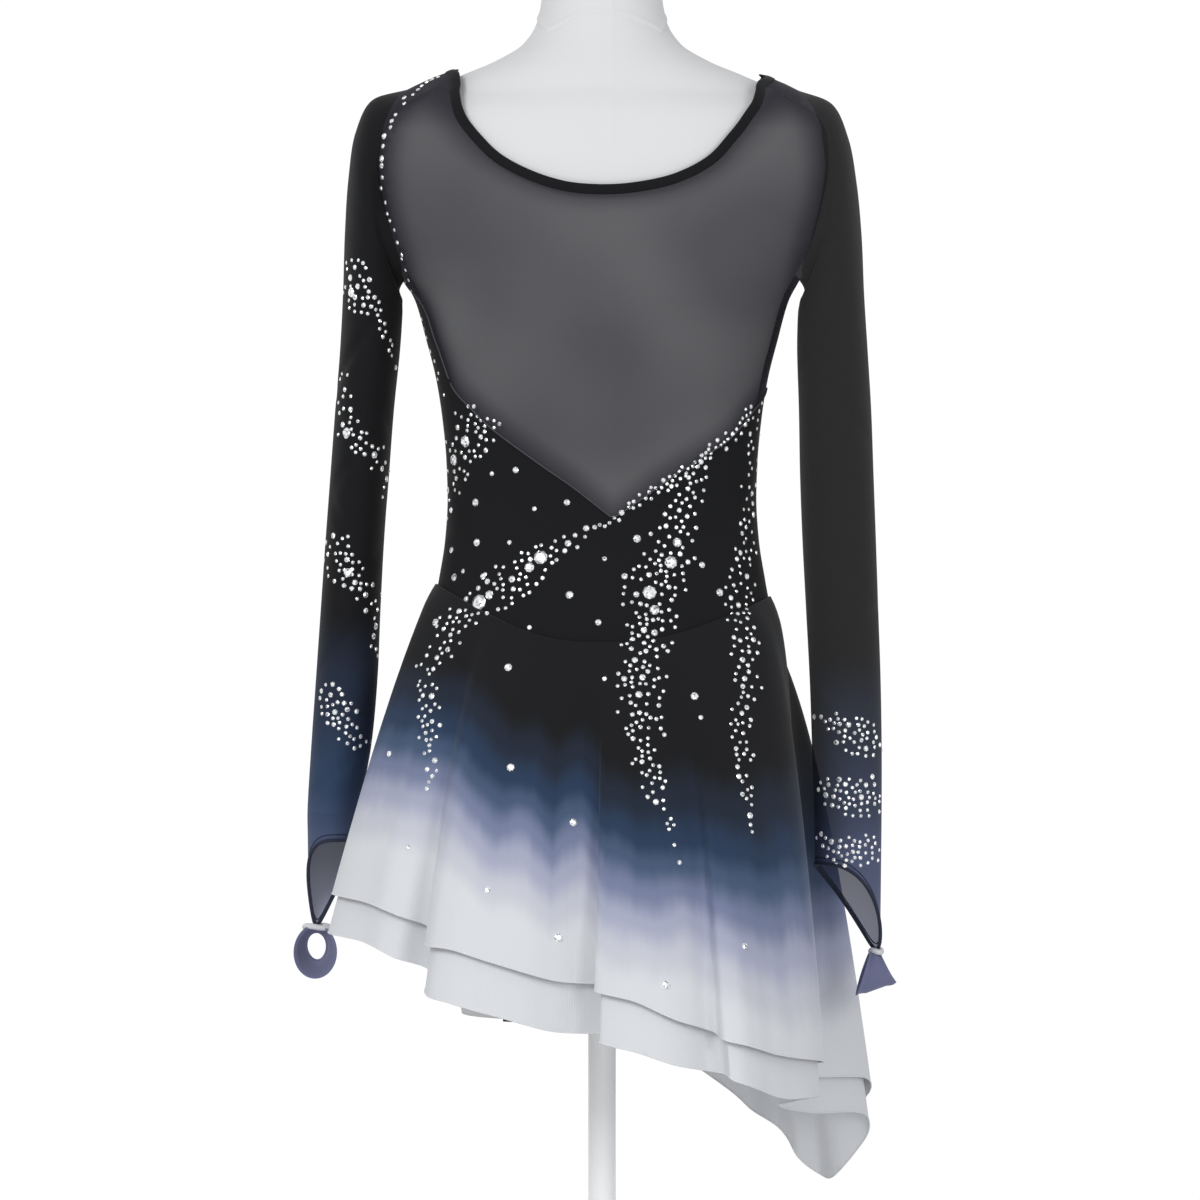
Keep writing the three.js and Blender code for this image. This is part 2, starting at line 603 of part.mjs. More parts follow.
function frontYoke() {
  const right = armholes.frontRight.slice(0, YOKE_RIGHT_END + 1);
  return panel(
    "front_yoke",
    {
      top: join(shifted(shoulderLeft, 360), frontNeck, reversed(shoulderRight)),
      bottom: frontSlant,
      left: finer(armholes.frontLeft.slice(0, YOKE_LEFT_END + 1), right.length - 1),
      right,
    },
    COLOURS.sheer,
  );
}

// The binding follows the neckline's points, on top of the panels, and lies down the cloth at right angles.
function neckBinding() {
  const loop = join(backNeck, reversed(frontNeck)).slice(0, -1);
  const step = 0.5;
  const below = loop.map((p, i) => {
    const before = loop[(i + loop.length - 1) % loop.length];
    const after = loop[(i + 1) % loop.length];
    const here = bodyPoint(p.turn, p.z);
    const along = bodyPoint(after.turn, after.z).sub(bodyPoint(before.turn, before.z)).normalize();
    const byTurn = bodyPoint(p.turn + step, p.z).sub(here).divideScalar(step);
    const byZ = bodyPoint(p.turn, p.z - step).sub(here).divideScalar(-step);
    const normal = byTurn.clone().cross(byZ).normalize();
    const down = along.cross(normal).normalize();
    if (down.z > 0) down.negate();
    const a = byTurn.dot(byTurn);
    const b = byTurn.dot(byZ);
    const c = byZ.dot(byZ);
    const f = BINDING_WIDTH * byTurn.dot(down);
    const g = BINDING_WIDTH * byZ.dot(down);
    const area = a * c - b * b;
    return { turn: p.turn + (c * f - b * g) / area, z: p.z + (a * g - b * f) / area };
  });
  const ring = (points, out) => points.map((p) => onBody(p.turn, p.z, CLOTH + BINDING_LIFT + out));
  const outer = [ring(loop, BINDING_CLOTH), ring(below, BINDING_CLOTH)];
  const inner = [ring(loop, 0), ring(below, 0)];
  return wallMesh("neck_binding", outer, inner, true, COLOURS.black);
}

// A sleeve ring: an ellipse from its outer edge over the back to its inner edge and round the front.
function ringPoint(side, ring, angle, shrink) {
  const half = Math.hypot(ring.outX - ring.inX, ring.outZ - ring.inZ) / 2;
  const scale = (half - shrink) / half;
  const across = Math.cos(angle) * scale;
  const bow = ring.bow * Math.sin(angle) ** 2;
  const x = (ring.outX + ring.inX) / 2 + ((ring.outX - ring.inX) / 2) * across + bow;
  const z = (ring.outZ + ring.inZ) / 2 + ((ring.outZ - ring.inZ) / 2) * across;
  return new THREE.Vector3(side * x, ring.y - Math.sin(angle) * (ring.deep - shrink), z);
}

// A point of the hand cover: its edge is level on the palm side and pointed over the back of the hand.
function cuffPoint(sleeve, angle, shrink, share) {
  const { side, rings, cuff } = sleeve;
  const start = ringPoint(side, rings[rings.length - 1], angle, shrink);
  const near = 0.5 + 0.5 * Math.cos(angle + radians(cuff.tipTurn));
  const pointed = near ** COVER_SHARP;
  const edge = new THREE.Vector3(
    mix(start.x, side * cuff.tipX, pointed * cuff.draw),
    mix(start.y, cuff.tipY, pointed * cuff.draw),
    mix(cuff.nearZ, cuff.tipZ, pointed),
  );
  return start.lerp(edge, share);
}

// A sleeve from its armhole to the seam above the hand, and the hand cover sewn on below that seam.
function sleeveMeshes(side, sleeve, back, front, colour) {
  const loop = inset([...back, ...reversed(front).slice(1, -1)], ARMHOLE_SEAM);
  const count = loop.length;
  const first = { ...sleeve.rings[0], outZ: SHOULDER_Z, inZ: UNDERARM_Z };
  const middleZ = (first.outZ + first.inZ) / 2;
  const halfZ = (first.outZ - first.inZ) / 2;
  const angles = loop.map((p, i) => {
    const at = bodyPoint(p.turn, p.z);
    const angle = Math.atan2(-(at.y - first.y) / first.deep, (at.z - middleZ) / halfZ);
    return i > 0 && angle < 0 ? angle + 2 * Math.PI : angle;
  });
  const outer = [loop.map((p) => onBody(p.turn, p.z, CLOTH))];
  sleeve.rings.forEach((ring, r) => {
    const share = Math.min(1, (r + 1) / RINGS_TO_SPREAD);
    outer.push(
      angles.map((angle, i) => ringPoint(sleeve.side, ring, mix(angle, (i / count) * 2 * Math.PI, share), 0)),
    );
  });
  const seamRow = outer.length - 1;
  for (const share of COVER_SHARES) {
    outer.push(angles.map((_, i) => cuffPoint(sleeve, (i / count) * 2 * Math.PI, 0, share)));
  }
  const inner = outer.map((row, i) =>
    row.map((p, j) => {
      const above = outer[Math.max(0, i - 1)][j];
      const below = outer[Math.min(outer.length - 1, i + 1)][j];
      const round = row[(j + 1) % count].clone().sub(row[(j + count - 1) % count]);
      const normal = round.cross(below.clone().sub(above)).normalize();
      return p.clone().addScaledVector(normal, sleeve.side * -CLOTH);
    }),
  );
  const below = (rows) => {
    const top = rows[seamRow].map((p, j) => {
      const down = rows[seamRow + 1][j].clone().sub(p).normalize();
      return p.clone().addScaledVector(down, 2 * SEAM);
    });
    return [top, ...rows.slice(seamRow + 1)];
  };
  return [
    wallMesh(`sleeve_${side}`, outer.slice(0, seamRow + 1), inner.slice(0, seamRow + 1), true, colour),
    wallMesh(`hand_cover_${side}`, below(outer), below(inner), true, colour),
  ];
}

// A strip gathered at the knot and spread below, closed to a ring that hangs from the hand cover's point.
function fingerLoop(name, sleeve, turned, colour) {
  const tip = cuffPoint(sleeve, -radians(sleeve.cuff.tipTurn), CLOTH / 2, 1);
  const middleZ = tip.z - sleeve.cuff.loopBelow - LOOP.tall - LOOP.wall / 2;
  const rows = even(LOOP.points).slice(0, -1).map((share) => {
    const angle = share * 2 * Math.PI;
    const width = mix(LOOP.knotWidth, LOOP.lowWidth, (1 - Math.cos(angle)) / 2);
    return [-1, 1].flatMap((end) =>
      [-end, end].map((face) => {
        const across = Math.sin(angle) * (LOOP.across + (face * LOOP.wall) / 2);
        const up = Math.cos(angle) * (LOOP.tall + (face * LOOP.wall) / 2);
        const wide = (end * width) / 2;
        const [dx, dy] = turned ? [wide, across] : [across, wide];
        return new THREE.Vector3(tip.x + dx, tip.y + dy, middleZ + up);
      }),
    );
  });
  const corners = rows.flat().flatMap((p) => [p.x, p.y, p.z]);
  const faces = [];
  rows.forEach((_, i) => {
    const next = (i + 1) % rows.length;
    for (let k = 0; k < 4; k += 1) {
      const [a, b] = [4 * i + k, 4 * i + ((k + 1) % 4)];
      const [c, d] = [4 * next + ((k + 1) % 4), 4 * next + k];
      faces.push(a, b, c, a, c, d);
    }
  });
  return solidMesh(name, corners, faces, colour);
}

// One fold between two rows of the fold table, by its place along the hem.
function foldAt(place) {
  const count = FOLDS.length;
  const start = Math.floor(place);
  const t = place - start;
  const row = (offset, key) => {
    const index = start + offset;
    const round = Math.floor(index / count);
    return FOLDS[index - round * count][key] + (key === "turn" ? 360 * round : 0);
  };
  const smooth = (key) => {
    const [a, b, c, d] = [-1, 0, 1, 2].map((offset) => row(offset, key));
    return 0.5 * (2 * b + (c - a) * t + (2 * a - 5 * b + 4 * c - d) * t * t + (3 * b - a - 3 * c + d) * t ** 3);
  };
  return Object.fromEntries(["turn", "x", "y", "upper", "under", "late"].map((key) => [key, smooth(key)]));
}

// A point of the upper layer's inner face: place along the hem, and share from the waist seam down.
function skirtPoint(place, down) {
  const fold = foldAt(place);
  const top = onBody(fold.turn, waistZ(fold.turn), SKIRT_OUT);
  const sine = Math.sin(radians(fold.turn));
  const cosine = Math.cos(radians(fold.turn));
  const flareX = sine * (sine > 0 ? FLARE.right : FLARE.left);
  const flareY = -cosine * (cosine > 0 ? FLARE.back : FLARE.front);
  const fast = mix(FLARE.fastLeft, FLARE.fastRight, (1 + sine) / 2);
  const from = FLARE_START ** fast;
  const open = ((down + FLARE_START) ** fast - from) / ((1 + FLARE_START) ** fast - from);
  const folded = down ** fold.late;
  return new THREE.Vector3(
    top.x + (flareX - top.x) * open + (fold.x - flareX) * folded,
    top.y + (flareY - top.y) * open + (fold.y - flareY) * folded,
    mix(top.z, fold.upper, down),
  );
}

// A point that far out from it.
function skirtOffset(place, down, out) {
  const step = 0.02;
  const round = skirtPoint(place + FOLD_REACH, down).sub(skirtPoint(place - FOLD_REACH, down));
  const fall = skirtPoint(place, down + step).sub(skirtPoint(place, Math.max(0, down - step)));
  const normal = fall.cross(round).normalize();
  return skirtPoint(place, down).addScaledVector(normal, out);
}

function skirt(name, under, colour) {
  const places = even(FOLDS.length * FOLD_STEPS).slice(0, -1).map((share) => share * FOLDS.length);
  const grid = (face) =>
    SKIRT_LEVELS.map((level) =>
      places.map((place) => {
        const fold = foldAt(place);
        const length = waistZ(fold.turn) - fold.upper;
        const down = under ? (level * (waistZ(fold.turn) - fold.under)) / length : level;
        const gap = 2 * SEAM + (LAYER_GAP - 2 * SEAM) * Math.min(1, level / LAYERS_PART_BY);
        return skirtOffset(place, down, under ? face - gap - SKIRT_CLOTH : face);
      }),
    );
  return wallMesh(name, grid(SKIRT_CLOTH), grid(0), true, colour);
}

// The leg edge drops to the gusset, which lies to one side of the stand's pole, and lifts at the sides.
function legZ(turn) {
  const apart = (middle) => Math.abs(((turn - middle + 540) % 360) - 180);
  const away = Math.min(apart(LEG.middle), apart(-180 - LEG.middle));
  return mix(LEG.low, LEG.high, THREE.MathUtils.smoothstep(away, LEG.half, LEG.half + LEG.spread));
}

function brief() {
  const grid = (out) =>
    even(BRIEF.rows).map((down) =>
      even(BRIEF.columns).slice(0, -1).map((share) => {
        const turn = share * 360;
        return onBody(turn, mix(waistZ(turn) - BRIEF.top, legZ(turn), down), out);
      }),
    );
  return wallMesh("brief", grid(SKIRT_CLOTH), grid(0), true, COLOURS.black);
}

function briefGusset() {
  const s = slice(FORM_BOTTOM);
  const grid = (out) =>
    even(GUSSET.steps).map((share) => {
      const x = mix(GUSSET.left, GUSSET.right, share);
      const reach = (1 - Math.abs(x / s.wide) ** s.boxy) ** (1 / s.boxy);
      const low = FORM_BOTTOM - GUSSET.under - out;
      const back = -s.back * reach - out;
      const front = s.front * reach + out;
      return [
        new THREE.Vector3(x, back, GUSSET.top),
        new THREE.Vector3(x, back, low),
        new THREE.Vector3(x, front, low),
        new THREE.Vector3(x, front, GUSSET.top),
      ];
    });
  return wallMesh("brief_gusset", grid(SKIRT_CLOTH), grid(0), false, COLOURS.black);
}

// The form: a smooth closed torso with a flat underside and a rounded neck cap.
function formTorso() {
  const around = 32;
  const heights = BODY.flatMap((row, i) => {
    const next = BODY[i + 1];
    return next && next.z - row.z > 50 ? [row.z, (row.z + next.z) / 2] : [row.z];
  });
  const turns = even(around).slice(0, -1).map((share) => share * 360);
  const clear = (z) =>
    FORM_CLEAR + SHOULDER_CLEAR.more * Math.exp(-(((z - SHOULDER_CLEAR.z) / SHOULDER_CLEAR.tall) ** 2));
  const rows = heights.map((z) => turns.map((turn) => onBody(turn, z, -clear(z))));
  const neck = rows[rows.length - 1];
  const mid = BODY[BODY.length - 1].mid;
  for (const { z, share } of NECK_CAP) {
    rows.push(neck.map((p) => new THREE.Vector3(p.x * share, mid + (p.y - mid) * share, z)));
  }
  for (const p of rows[0]) p.z = FORM_BOTTOM;
  const corners = rows.flat().flatMap((p) => [p.x, p.y, p.z]);
  const faces = [];
  for (let i = 0; i < rows.length - 1; i += 1) {
    for (let j = 0; j < around; j += 1) {
      const [a, b] = [i * around + j, i * around + ((j + 1) % around)];
      faces.push(a, b, b + around, a, b + around, a + around);
    }
  }
  const bottom = rows.length * around;
  const top = bottom + 1;
  corners.push(0, 0, FORM_BOTTOM, 0, mid, NECK_CAP[NECK_CAP.length - 1].z + 1);
  for (let j = 0; j < around; j += 1) {
    const next = (j + 1) % around;
    faces.push(next, j, bottom);
    faces.push(bottom - around + j, bottom - around + next, top);
  }
  return solidMesh("form_torso", corners, faces, COLOURS.form);
}

function formPole() {
  const length = FORM_BOTTOM - BASE_HEIGHT - 4 * SEAM;
  const geometry = new THREE.CylinderGeometry(POLE_RADIUS, POLE_RADIUS, length, 24);
  const mesh = meshOf("form_pole", geometry, COLOURS.pole);
  mesh.rotation.x = Math.PI / 2;
  mesh.position.z = BASE_HEIGHT + 2 * SEAM + length / 2;
  return mesh;
}

function formBase() {
  const geometry = new THREE.CylinderGeometry(BASE_RADIUS, BASE_RADIUS, BASE_HEIGHT, 48);
  const mesh = meshOf("form_base", geometry, COLOURS.pole);
  mesh.rotation.x = Math.PI / 2;
  mesh.position.z = BASE_HEIGHT / 2;
  return mesh;
}

const root = new THREE.Group();
root.add(formTorso(), formPole(), formBase());
root.add(backMesh(), backBodice(), frontBodice(), frontYoke(), neckBinding());
const leftFront = shifted(armholes.frontLeft, -360);
root.add(...sleeveMeshes("left", SLEEVE_LEFT, armholes.backLeft, leftFront, COLOURS.black));
root.add(...sleeveMeshes("right", SLEEVE_RIGHT, armholes.backRight, armholes.frontRight, COLOURS.sheer));
root.add(fingerLoop("finger_loop_left", SLEEVE_LEFT, false, COLOURS.navy));
root.add(fingerLoop("finger_loop_right", SLEEVE_RIGHT, true, COLOURS.pale));
root.add(skirt("skirt_upper", false, COLOURS.pale), skirt("skirt_under", true, COLOURS.pale));
root.add(brief(), briefGusset());
export default root;
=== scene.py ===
# A figure skating dress with a sheer scooped back and a two-layer ombre skirt, on a limbless dress form.
# Cloth pieces are worked out in millimetres from the sizes below and made in metres.
# The back of the dress faces -Y and the wearer's right is +X.
import math
import bpy
import numpy as np
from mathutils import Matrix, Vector
from mathutils.bvhtree import BVHTree


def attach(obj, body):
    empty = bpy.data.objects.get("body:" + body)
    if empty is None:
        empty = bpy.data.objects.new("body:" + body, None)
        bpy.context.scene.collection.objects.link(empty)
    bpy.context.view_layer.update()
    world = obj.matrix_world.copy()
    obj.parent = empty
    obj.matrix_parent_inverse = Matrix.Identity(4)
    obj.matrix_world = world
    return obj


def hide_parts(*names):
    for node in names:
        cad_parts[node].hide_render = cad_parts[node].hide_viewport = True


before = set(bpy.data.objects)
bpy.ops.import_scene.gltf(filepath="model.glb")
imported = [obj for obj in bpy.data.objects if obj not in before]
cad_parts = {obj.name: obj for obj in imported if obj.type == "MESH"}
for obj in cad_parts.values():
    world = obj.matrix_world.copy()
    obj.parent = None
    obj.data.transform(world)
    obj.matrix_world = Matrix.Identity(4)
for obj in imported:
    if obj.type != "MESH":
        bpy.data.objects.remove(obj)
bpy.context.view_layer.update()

# The figure
# Level slices: height, half width, depth to the back and to the front of the middle line,
# how far that line lies forward, and how boxy the slice is
BODY_COLUMNS = ("z", "wide", "back", "front", "mid", "boxy")
BODY = np.array([
    (214, 116, 86, 76, 0, 2.1),
    (280, 126, 96, 82, 0, 2.1),
    (340, 136, 106, 87, 0, 2.1),
    (400, 140, 113, 91, 0, 2.2),
    (440, 141, 114, 93, 0, 2.2),
    (480, 140, 109, 93, 0, 2.2),
    (520, 136, 100, 91, 0, 2.2),
    (560, 129, 89, 87, 0, 2.2),
    (592, 124, 82, 84, 0, 2.2),
    (624, 122, 80, 85, 0, 2.2),
    (656, 123, 81, 89, 0, 2.2),
    (688, 126, 83, 96, 0, 2.3),
    (720, 131, 86, 106, 0, 2.3),
    (752, 139, 90, 116, 0, 2.4),
    (784, 148, 94, 120, 0, 2.5),
    (799, 156, 95, 120, 0, 2.6),
    (815, 165, 96, 118, 0, 2.6),
    (831, 172, 97, 115, 0, 2.6),
    (862, 180, 97, 107, 0, 2.6),
    (890, 185, 94, 98, 0, 2.6),
    (915, 184, 88, 88, 1, 2.5),
    (933, 177, 83, 80, 2, 2.3),
    (944, 167, 79, 76, 3, 2.1),
    (952, 153, 75, 72, 4, 2),
    (960, 136, 71, 67, 5, 2),
    (968, 115, 67, 63, 6, 2),
    (978, 89, 62, 59, 7, 2),
    (992, 66, 57, 56, 9, 2),
    (1008, 56, 53, 53, 11, 2),
    (1030, 52, 51, 51, 13, 2),
    (1064, 51, 50, 50, 16, 2),
])
CUP_OUT, CUP_TURN, CUP_SPREAD, CUP_Z, CUP_TALL = 9, 27, 17, 802, 40
CLOTH = 1.5
FORM_CLEAR = 3.8
FORM_BOTTOM = 214


def follow(column, z):
    """A smooth value of a column of the body table at each height."""
    xs = BODY[:, 0]
    ys = BODY[:, BODY_COLUMNS.index(column)]
    z = np.asarray(z, float)
    i = np.clip(np.searchsorted(xs, z, side="right") - 1, 0, len(xs) - 2)
    rises = np.diff(ys) / np.diff(xs)
    before = np.concatenate([rises[:1], rises])
    after = np.concatenate([rises, rises[-1:]])
    product = before * after
    total = np.where(product > 0, before + after, 1)
    slopes = np.where(product > 0, 2 * product / total, 0)
    span = xs[i + 1] - xs[i]
    s = np.clip((z - xs[i]) / span, 0, 1)
    s2 = s * s
    s3 = s2 * s
    ends = ys[i] * (2 * s3 - 3 * s2 + 1) + ys[i + 1] * (3 * s2 - 2 * s3)
    return ends + span * (slopes[i] * (s3 - 2 * s2 + s) + slopes[i + 1] * (s3 - s2))


def body_point(turn, z):
    """Points of the figure: turn 0 is the middle of the back, 90 the wearer's right side."""
    turn, z = np.broadcast_arrays(np.asarray(turn, float), np.asarray(z, float))
    sine = np.sin(np.radians(turn))
    cosine = np.cos(np.radians(turn))
    boxy = follow("boxy", z)
    deep = np.where(cosine > 0, follow("back", z), follow("front", z))
    across = np.abs(sine / follow("wide", z)) ** boxy
    along = np.abs(cosine / deep) ** boxy
    from_front = np.abs(turn % 360 - 180)
    cup = CUP_OUT * np.exp(-(((from_front - CUP_TURN) / CUP_SPREAD) ** 2))
    cup = cup * np.exp(-(((z - CUP_Z) / CUP_TALL) ** 2))
    reach = (across + along) ** (-1 / boxy) + cup
    return np.stack([reach * sine, follow("mid", z) - reach * cosine, z], axis=-1)


def on_body(turn, z, out):
    """Points that far out from the figure, along its own normals."""
    step = 0.6
    turn, z = np.broadcast_arrays(np.asarray(turn, float), np.asarray(z, float))
    around = body_point(turn + step, z) - body_point(turn - step, z)
    up = body_point(turn, z + step) - body_point(turn, z - step)
    normal = np.cross(around, up)
    normal /= np.linalg.norm(normal, axis=-1, keepdims=True)
    return body_point(turn, z) + normal * np.asarray(out)[..., None]


def sheet_mesh(name, grid, closed=False, uv=None, **values):
    """A smooth surface through a grid of points in mm, with its own UV in metres and named values."""
    rows, columns = grid.shape[:2]
    mesh = bpy.data.meshes.new(name)
    across = columns if closed else columns - 1
    i, j = np.meshgrid(np.arange(rows - 1), np.arange(across), indexing="ij")
    after = (j + 1) % columns
    here, below = i * columns, (i + 1) * columns
    corners = np.stack([here + j, below + j, below + after, here + after], -1).reshape(-1, 4)
    mesh.from_pydata((grid.reshape(-1, 3) / 1000).tolist(), [], corners.tolist())
    mesh.polygons.foreach_set("use_smooth", [True] * len(mesh.polygons))
    if uv is not None:
        layer = mesh.uv_layers.new(name="cloth")
        u, v = uv
        next_u = np.where(after > j, u[i, after], 2 * u[i, j] - u[i, j - 1])
        left_side = [u[i, j], v[i, j], u[i, j], v[i + 1, j]]
        round_the_face = left_side + [next_u, v[i + 1, after], next_u, v[i, after]]
        layer.data.foreach_set("uv", np.stack(round_the_face, -1).reshape(-1))
    for key, value in values.items():
        attribute = mesh.attributes.new(name=key, type="FLOAT", domain="POINT")
        everywhere = np.broadcast_to(value, (rows, columns)).reshape(-1)
        attribute.data.foreach_set("value", everywhere.astype(np.float32))
    made = bpy.data.objects.new(name, mesh)
    bpy.context.scene.collection.objects.link(made)
    return made


# Dress form: a jersey-covered torso with a rounded neck cap and raised seams
# The seam down the back and the one round the neck's foot are the two that show.
FORM_SEAM_X = 8
NECK_SEAM = np.array([
    (-90, 1012), (-52, 998), (-38, 1003), (-20, 1010), (0, 1011),
    (24, 1009), (42, 1004), (58, 998), (90, 1012),
])
NECK_SEAM_ENDS_Z = 1012
# Across each seam: how far its ridge rises and its groove sinks, and how wide both are
BACK_SEAM = (0.5, 1.5, 0.35, 0.5)
FOOT_SEAM, FOOT_GROOVE_UNDER = (0.9, 2, 0.5, 1.2), 3.2
# Where the form keeps further from the cloth, under the shoulders: how far, height and spread
HOLLOW, HOLLOW_Z, HOLLOW_TALL = 3.4, 950, 17
SHOULDERS_FROM_Z, NECK_FROM_Z, NECK_TOP_Z, NECK_MIDDLE_Y = 900, 1000, 1064, 16
FORM_ROUND_MM = 130
# The neck's rounded cap: height of each ring and its share of the neck's size
NECK_CAP = [
    (1086, 0.02), (1085.6, 0.25), (1085, 0.5), (1083.4, 0.66), (1081, 0.79), (1078, 0.89), (1074, 0.95),
    (1069, 0.985),
]


def form_grid(columns, rows):
    z = np.concatenate([
        np.linspace(FORM_BOTTOM, SHOULDERS_FROM_Z, rows),
        np.linspace(SHOULDERS_FROM_Z, NECK_FROM_Z, rows)[1:],
        np.linspace(NECK_FROM_Z, NECK_TOP_Z, rows // 2)[1:],
    ])
    turns = np.linspace(0, 360, columns, endpoint=False)
    more = HOLLOW * np.exp(-(((z - HOLLOW_Z) / HOLLOW_TALL) ** 2))
    turn_grid, z_grid = np.meshgrid(turns, z[::-1])
    out = -(FORM_CLEAR + more[::-1])[:, None] + np.zeros_like(turn_grid)
    points = on_body(turn_grid, z_grid, out)
    signed = (turn_grid + 180) % 360 - 180
    behind = np.abs(signed) < 90
    off = np.where(behind, points[..., 0] - FORM_SEAM_X, 99)
    rise, wide, sink, narrow = BACK_SEAM
    ridge = rise * np.exp(-((off / wide) ** 2)) - sink * np.exp(-((off / narrow) ** 2))
    foot = np.interp(signed, *NECK_SEAM.T, left=NECK_SEAM_ENDS_Z, right=NECK_SEAM_ENDS_Z)
    away = points[..., 2] - foot
    rise, wide, sink, narrow = FOOT_SEAM
    ridge = ridge + rise * np.exp(-((away / wide) ** 2))
    ridge = ridge - sink * np.exp(-(((away + FOOT_GROOVE_UNDER) / narrow) ** 2))
    points = on_body(turn_grid, z_grid, out + ridge)
    points[-1, :, 2] = FORM_BOTTOM
    middle = np.array([0, NECK_MIDDLE_Y, 0])
    neck = points[0]
    caps = []
    for height, share in NECK_CAP:
        ring = middle + (neck - middle) * share
        ring[:, 2] = height
        caps.append(ring)
    under = []
    for share in (0.97, 0.5, 0.02):
        ring = points[-1] * share
        ring[:, 2] = FORM_BOTTOM
        under.append(ring)
    grid = np.concatenate([np.array(caps), points, np.array(under)])
    around = np.radians(turns) * FORM_ROUND_MM
    return grid, around


form_points, form_around = form_grid(240, 110)
form_uv = (np.broadcast_to(form_around / 1000, form_points.shape[:2]), form_points[..., 2] / 1000)
form = sheet_mesh("dress_form_torso", form_points, closed=True, uv=form_uv)
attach(form, "root")
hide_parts("form_torso")


# Outlines of the panels, in mm as seen from behind
# They become lines of turn and height on the figure, so that neighbours share a seam exactly.
ROUND_MM = 2.4
SHOULDER_Z, UNDERARM_Z = 952, 800
NECK_LEFT_Z, NECK_RIGHT_Z = 968, 964
ARMHOLE = [(163, 940), (172, 919), (175, 893), (172, 862), (164, 830), (158, 811)]
BACK_NECKLINE = [
    (-113, 960), (-112, 941.5), (-106, 922), (-94, 906.5), (-79, 892), (-57.5, 880), (-31, 871), (-2, 868),
    (28, 870), (57.5, 877), (82, 890), (100, 909.5), (116, 932), (123, 952.5),
]
FRONT_NECKLINE = [
    (-119, 960), (-117, 944), (-104, 921), (-76, 904), (-40, 896), (0, 893), (40, 896), (76, 904),
    (104, 920), (118, 942), (123, 958),
]
V_LEFT = [
    (-141, 779), (-130, 749), (-118, 715), (-101, 694), (-87, 680), (-68, 665), (-45, 648), (-25, 634),
]
V_TIP = (8, 608)
V_RIGHT = [(18, 614), (40, 630), (76, 655), (98, 670), (119, 695)]
V_RIGHT_SIDE_Z = 714
FRONT_SLANT = [(-110, 886), (-50, 875), (20, 862), (95, 838)]
WAIST_MIDDLE_Z, WAIST_LIFT_LEFT, WAIST_LIFT_RIGHT, WAIST_LATE = 510, 46, 36, 2.6
FRONT_ARMHOLE_IN = 3


def mark(x, z, front=False):
    wide = float(follow("wide", z))
    boxy = float(follow("boxy", z))
    share = min(1, abs(x) / wide)
    deep = float(follow("front" if front else "back", z)) * (1 - share ** boxy) ** (1 / boxy)
    angle = math.degrees(math.atan2(x, -deep if front else deep))
    return (angle + 360 if front and angle < 0 else angle, z)


def resample(points, shares):
    """Points at even shares of a line's length, in turn and height."""
    points = np.asarray(points, float)
    steps = np.hypot(np.diff(points[:, 0]) * ROUND_MM, np.diff(points[:, 1]))
    along = np.concatenate([[0], np.cumsum(steps)])
    at = np.asarray(shares) * along[-1]
    return np.stack([np.interp(at, along, points[:, k]) for k in (0, 1)], -1)


def curve(points, each=24):
    """A smooth line through points of any dimension, with that many steps from one to the next."""
    p = np.asarray(points, float)
    p = np.concatenate([[2 * p[0] - p[1]], p, [2 * p[-1] - p[-2]]])
    out = []
    for a, b, c, d in zip(p[:-3], p[1:-2], p[2:-1], p[3:]):
        ab, bc, cd = [max(np.linalg.norm(w - v), 1e-6) ** 0.5 for v, w in ((a, b), (b, c), (c, d))]
        start = ((b - a) / ab - (c - a) / (ab + bc) + (c - b) / bc) * bc
        end = ((c - b) / bc - (d - b) / (bc + cd) + (d - c) / cd) * bc
        t = np.linspace(0, 1, each, endpoint=False)[:, None]
        k2 = -3 * b + 3 * c - 2 * start - end
        k3 = 2 * b - 2 * c + start + end
        out.append(b + start * t + k2 * t * t + k3 * t ** 3)
    return np.concatenate(out + [p[-2:-1]])


def seam_line(marks):
    scaled = [(turn * ROUND_MM, z) for turn, z in marks]
    made = curve(scaled)
    return np.stack([made[:, 0] / ROUND_MM, made[:, 1]], -1)


def waist_z(turn):
    sine = np.sin(np.radians(turn))
    lift = np.where(sine < 0, WAIST_LIFT_LEFT, WAIST_LIFT_RIGHT)
    return WAIST_MIDDLE_Z + lift * np.abs(sine) ** WAIST_LATE


def armhole_line(side, front):
    turn = 270 if front and side < 0 else side * 90
    inwards = FRONT_ARMHOLE_IN if front else 0
    marks = [mark(side * (x - inwards), z, front) for x, z in ARMHOLE]
    return seam_line([(turn, SHOULDER_Z), *marks, (turn, UNDERARM_Z)])


def waist_line(start, end):
    turns = np.linspace(start, end, 200)
    return np.stack([turns, waist_z(turns)], -1)


armhole_back_left = armhole_line(-1, False)
armhole_front_left = armhole_line(-1, True)
armhole_back_right = armhole_line(1, False)
armhole_front_right = armhole_line(1, True)
back_marks = [mark(x, z) for x, z in BACK_NECKLINE]
front_marks = [mark(x, z, True) for x, z in FRONT_NECKLINE]
back_neck = seam_line([(-90, NECK_LEFT_Z), *back_marks, (90, NECK_RIGHT_Z)])
front_neck = seam_line([(270, NECK_LEFT_Z), *front_marks, (90, NECK_RIGHT_Z)])
v_left = seam_line([(-90, UNDERARM_Z), *[mark(x, z) for x, z in V_LEFT], mark(*V_TIP)])
v_right = seam_line([mark(*V_TIP), *[mark(x, z) for x, z in V_RIGHT], (90, V_RIGHT_SIDE_Z)])
v_line = np.concatenate([v_left, v_right[1:]])
YOKE_ENDS_LEFT, YOKE_ENDS_RIGHT = 0.36, 0.68
yoke_left = resample(armhole_front_left, np.linspace(0, YOKE_ENDS_LEFT, 40))
yoke_right = resample(armhole_front_right, np.linspace(0, YOKE_ENDS_RIGHT, 60))
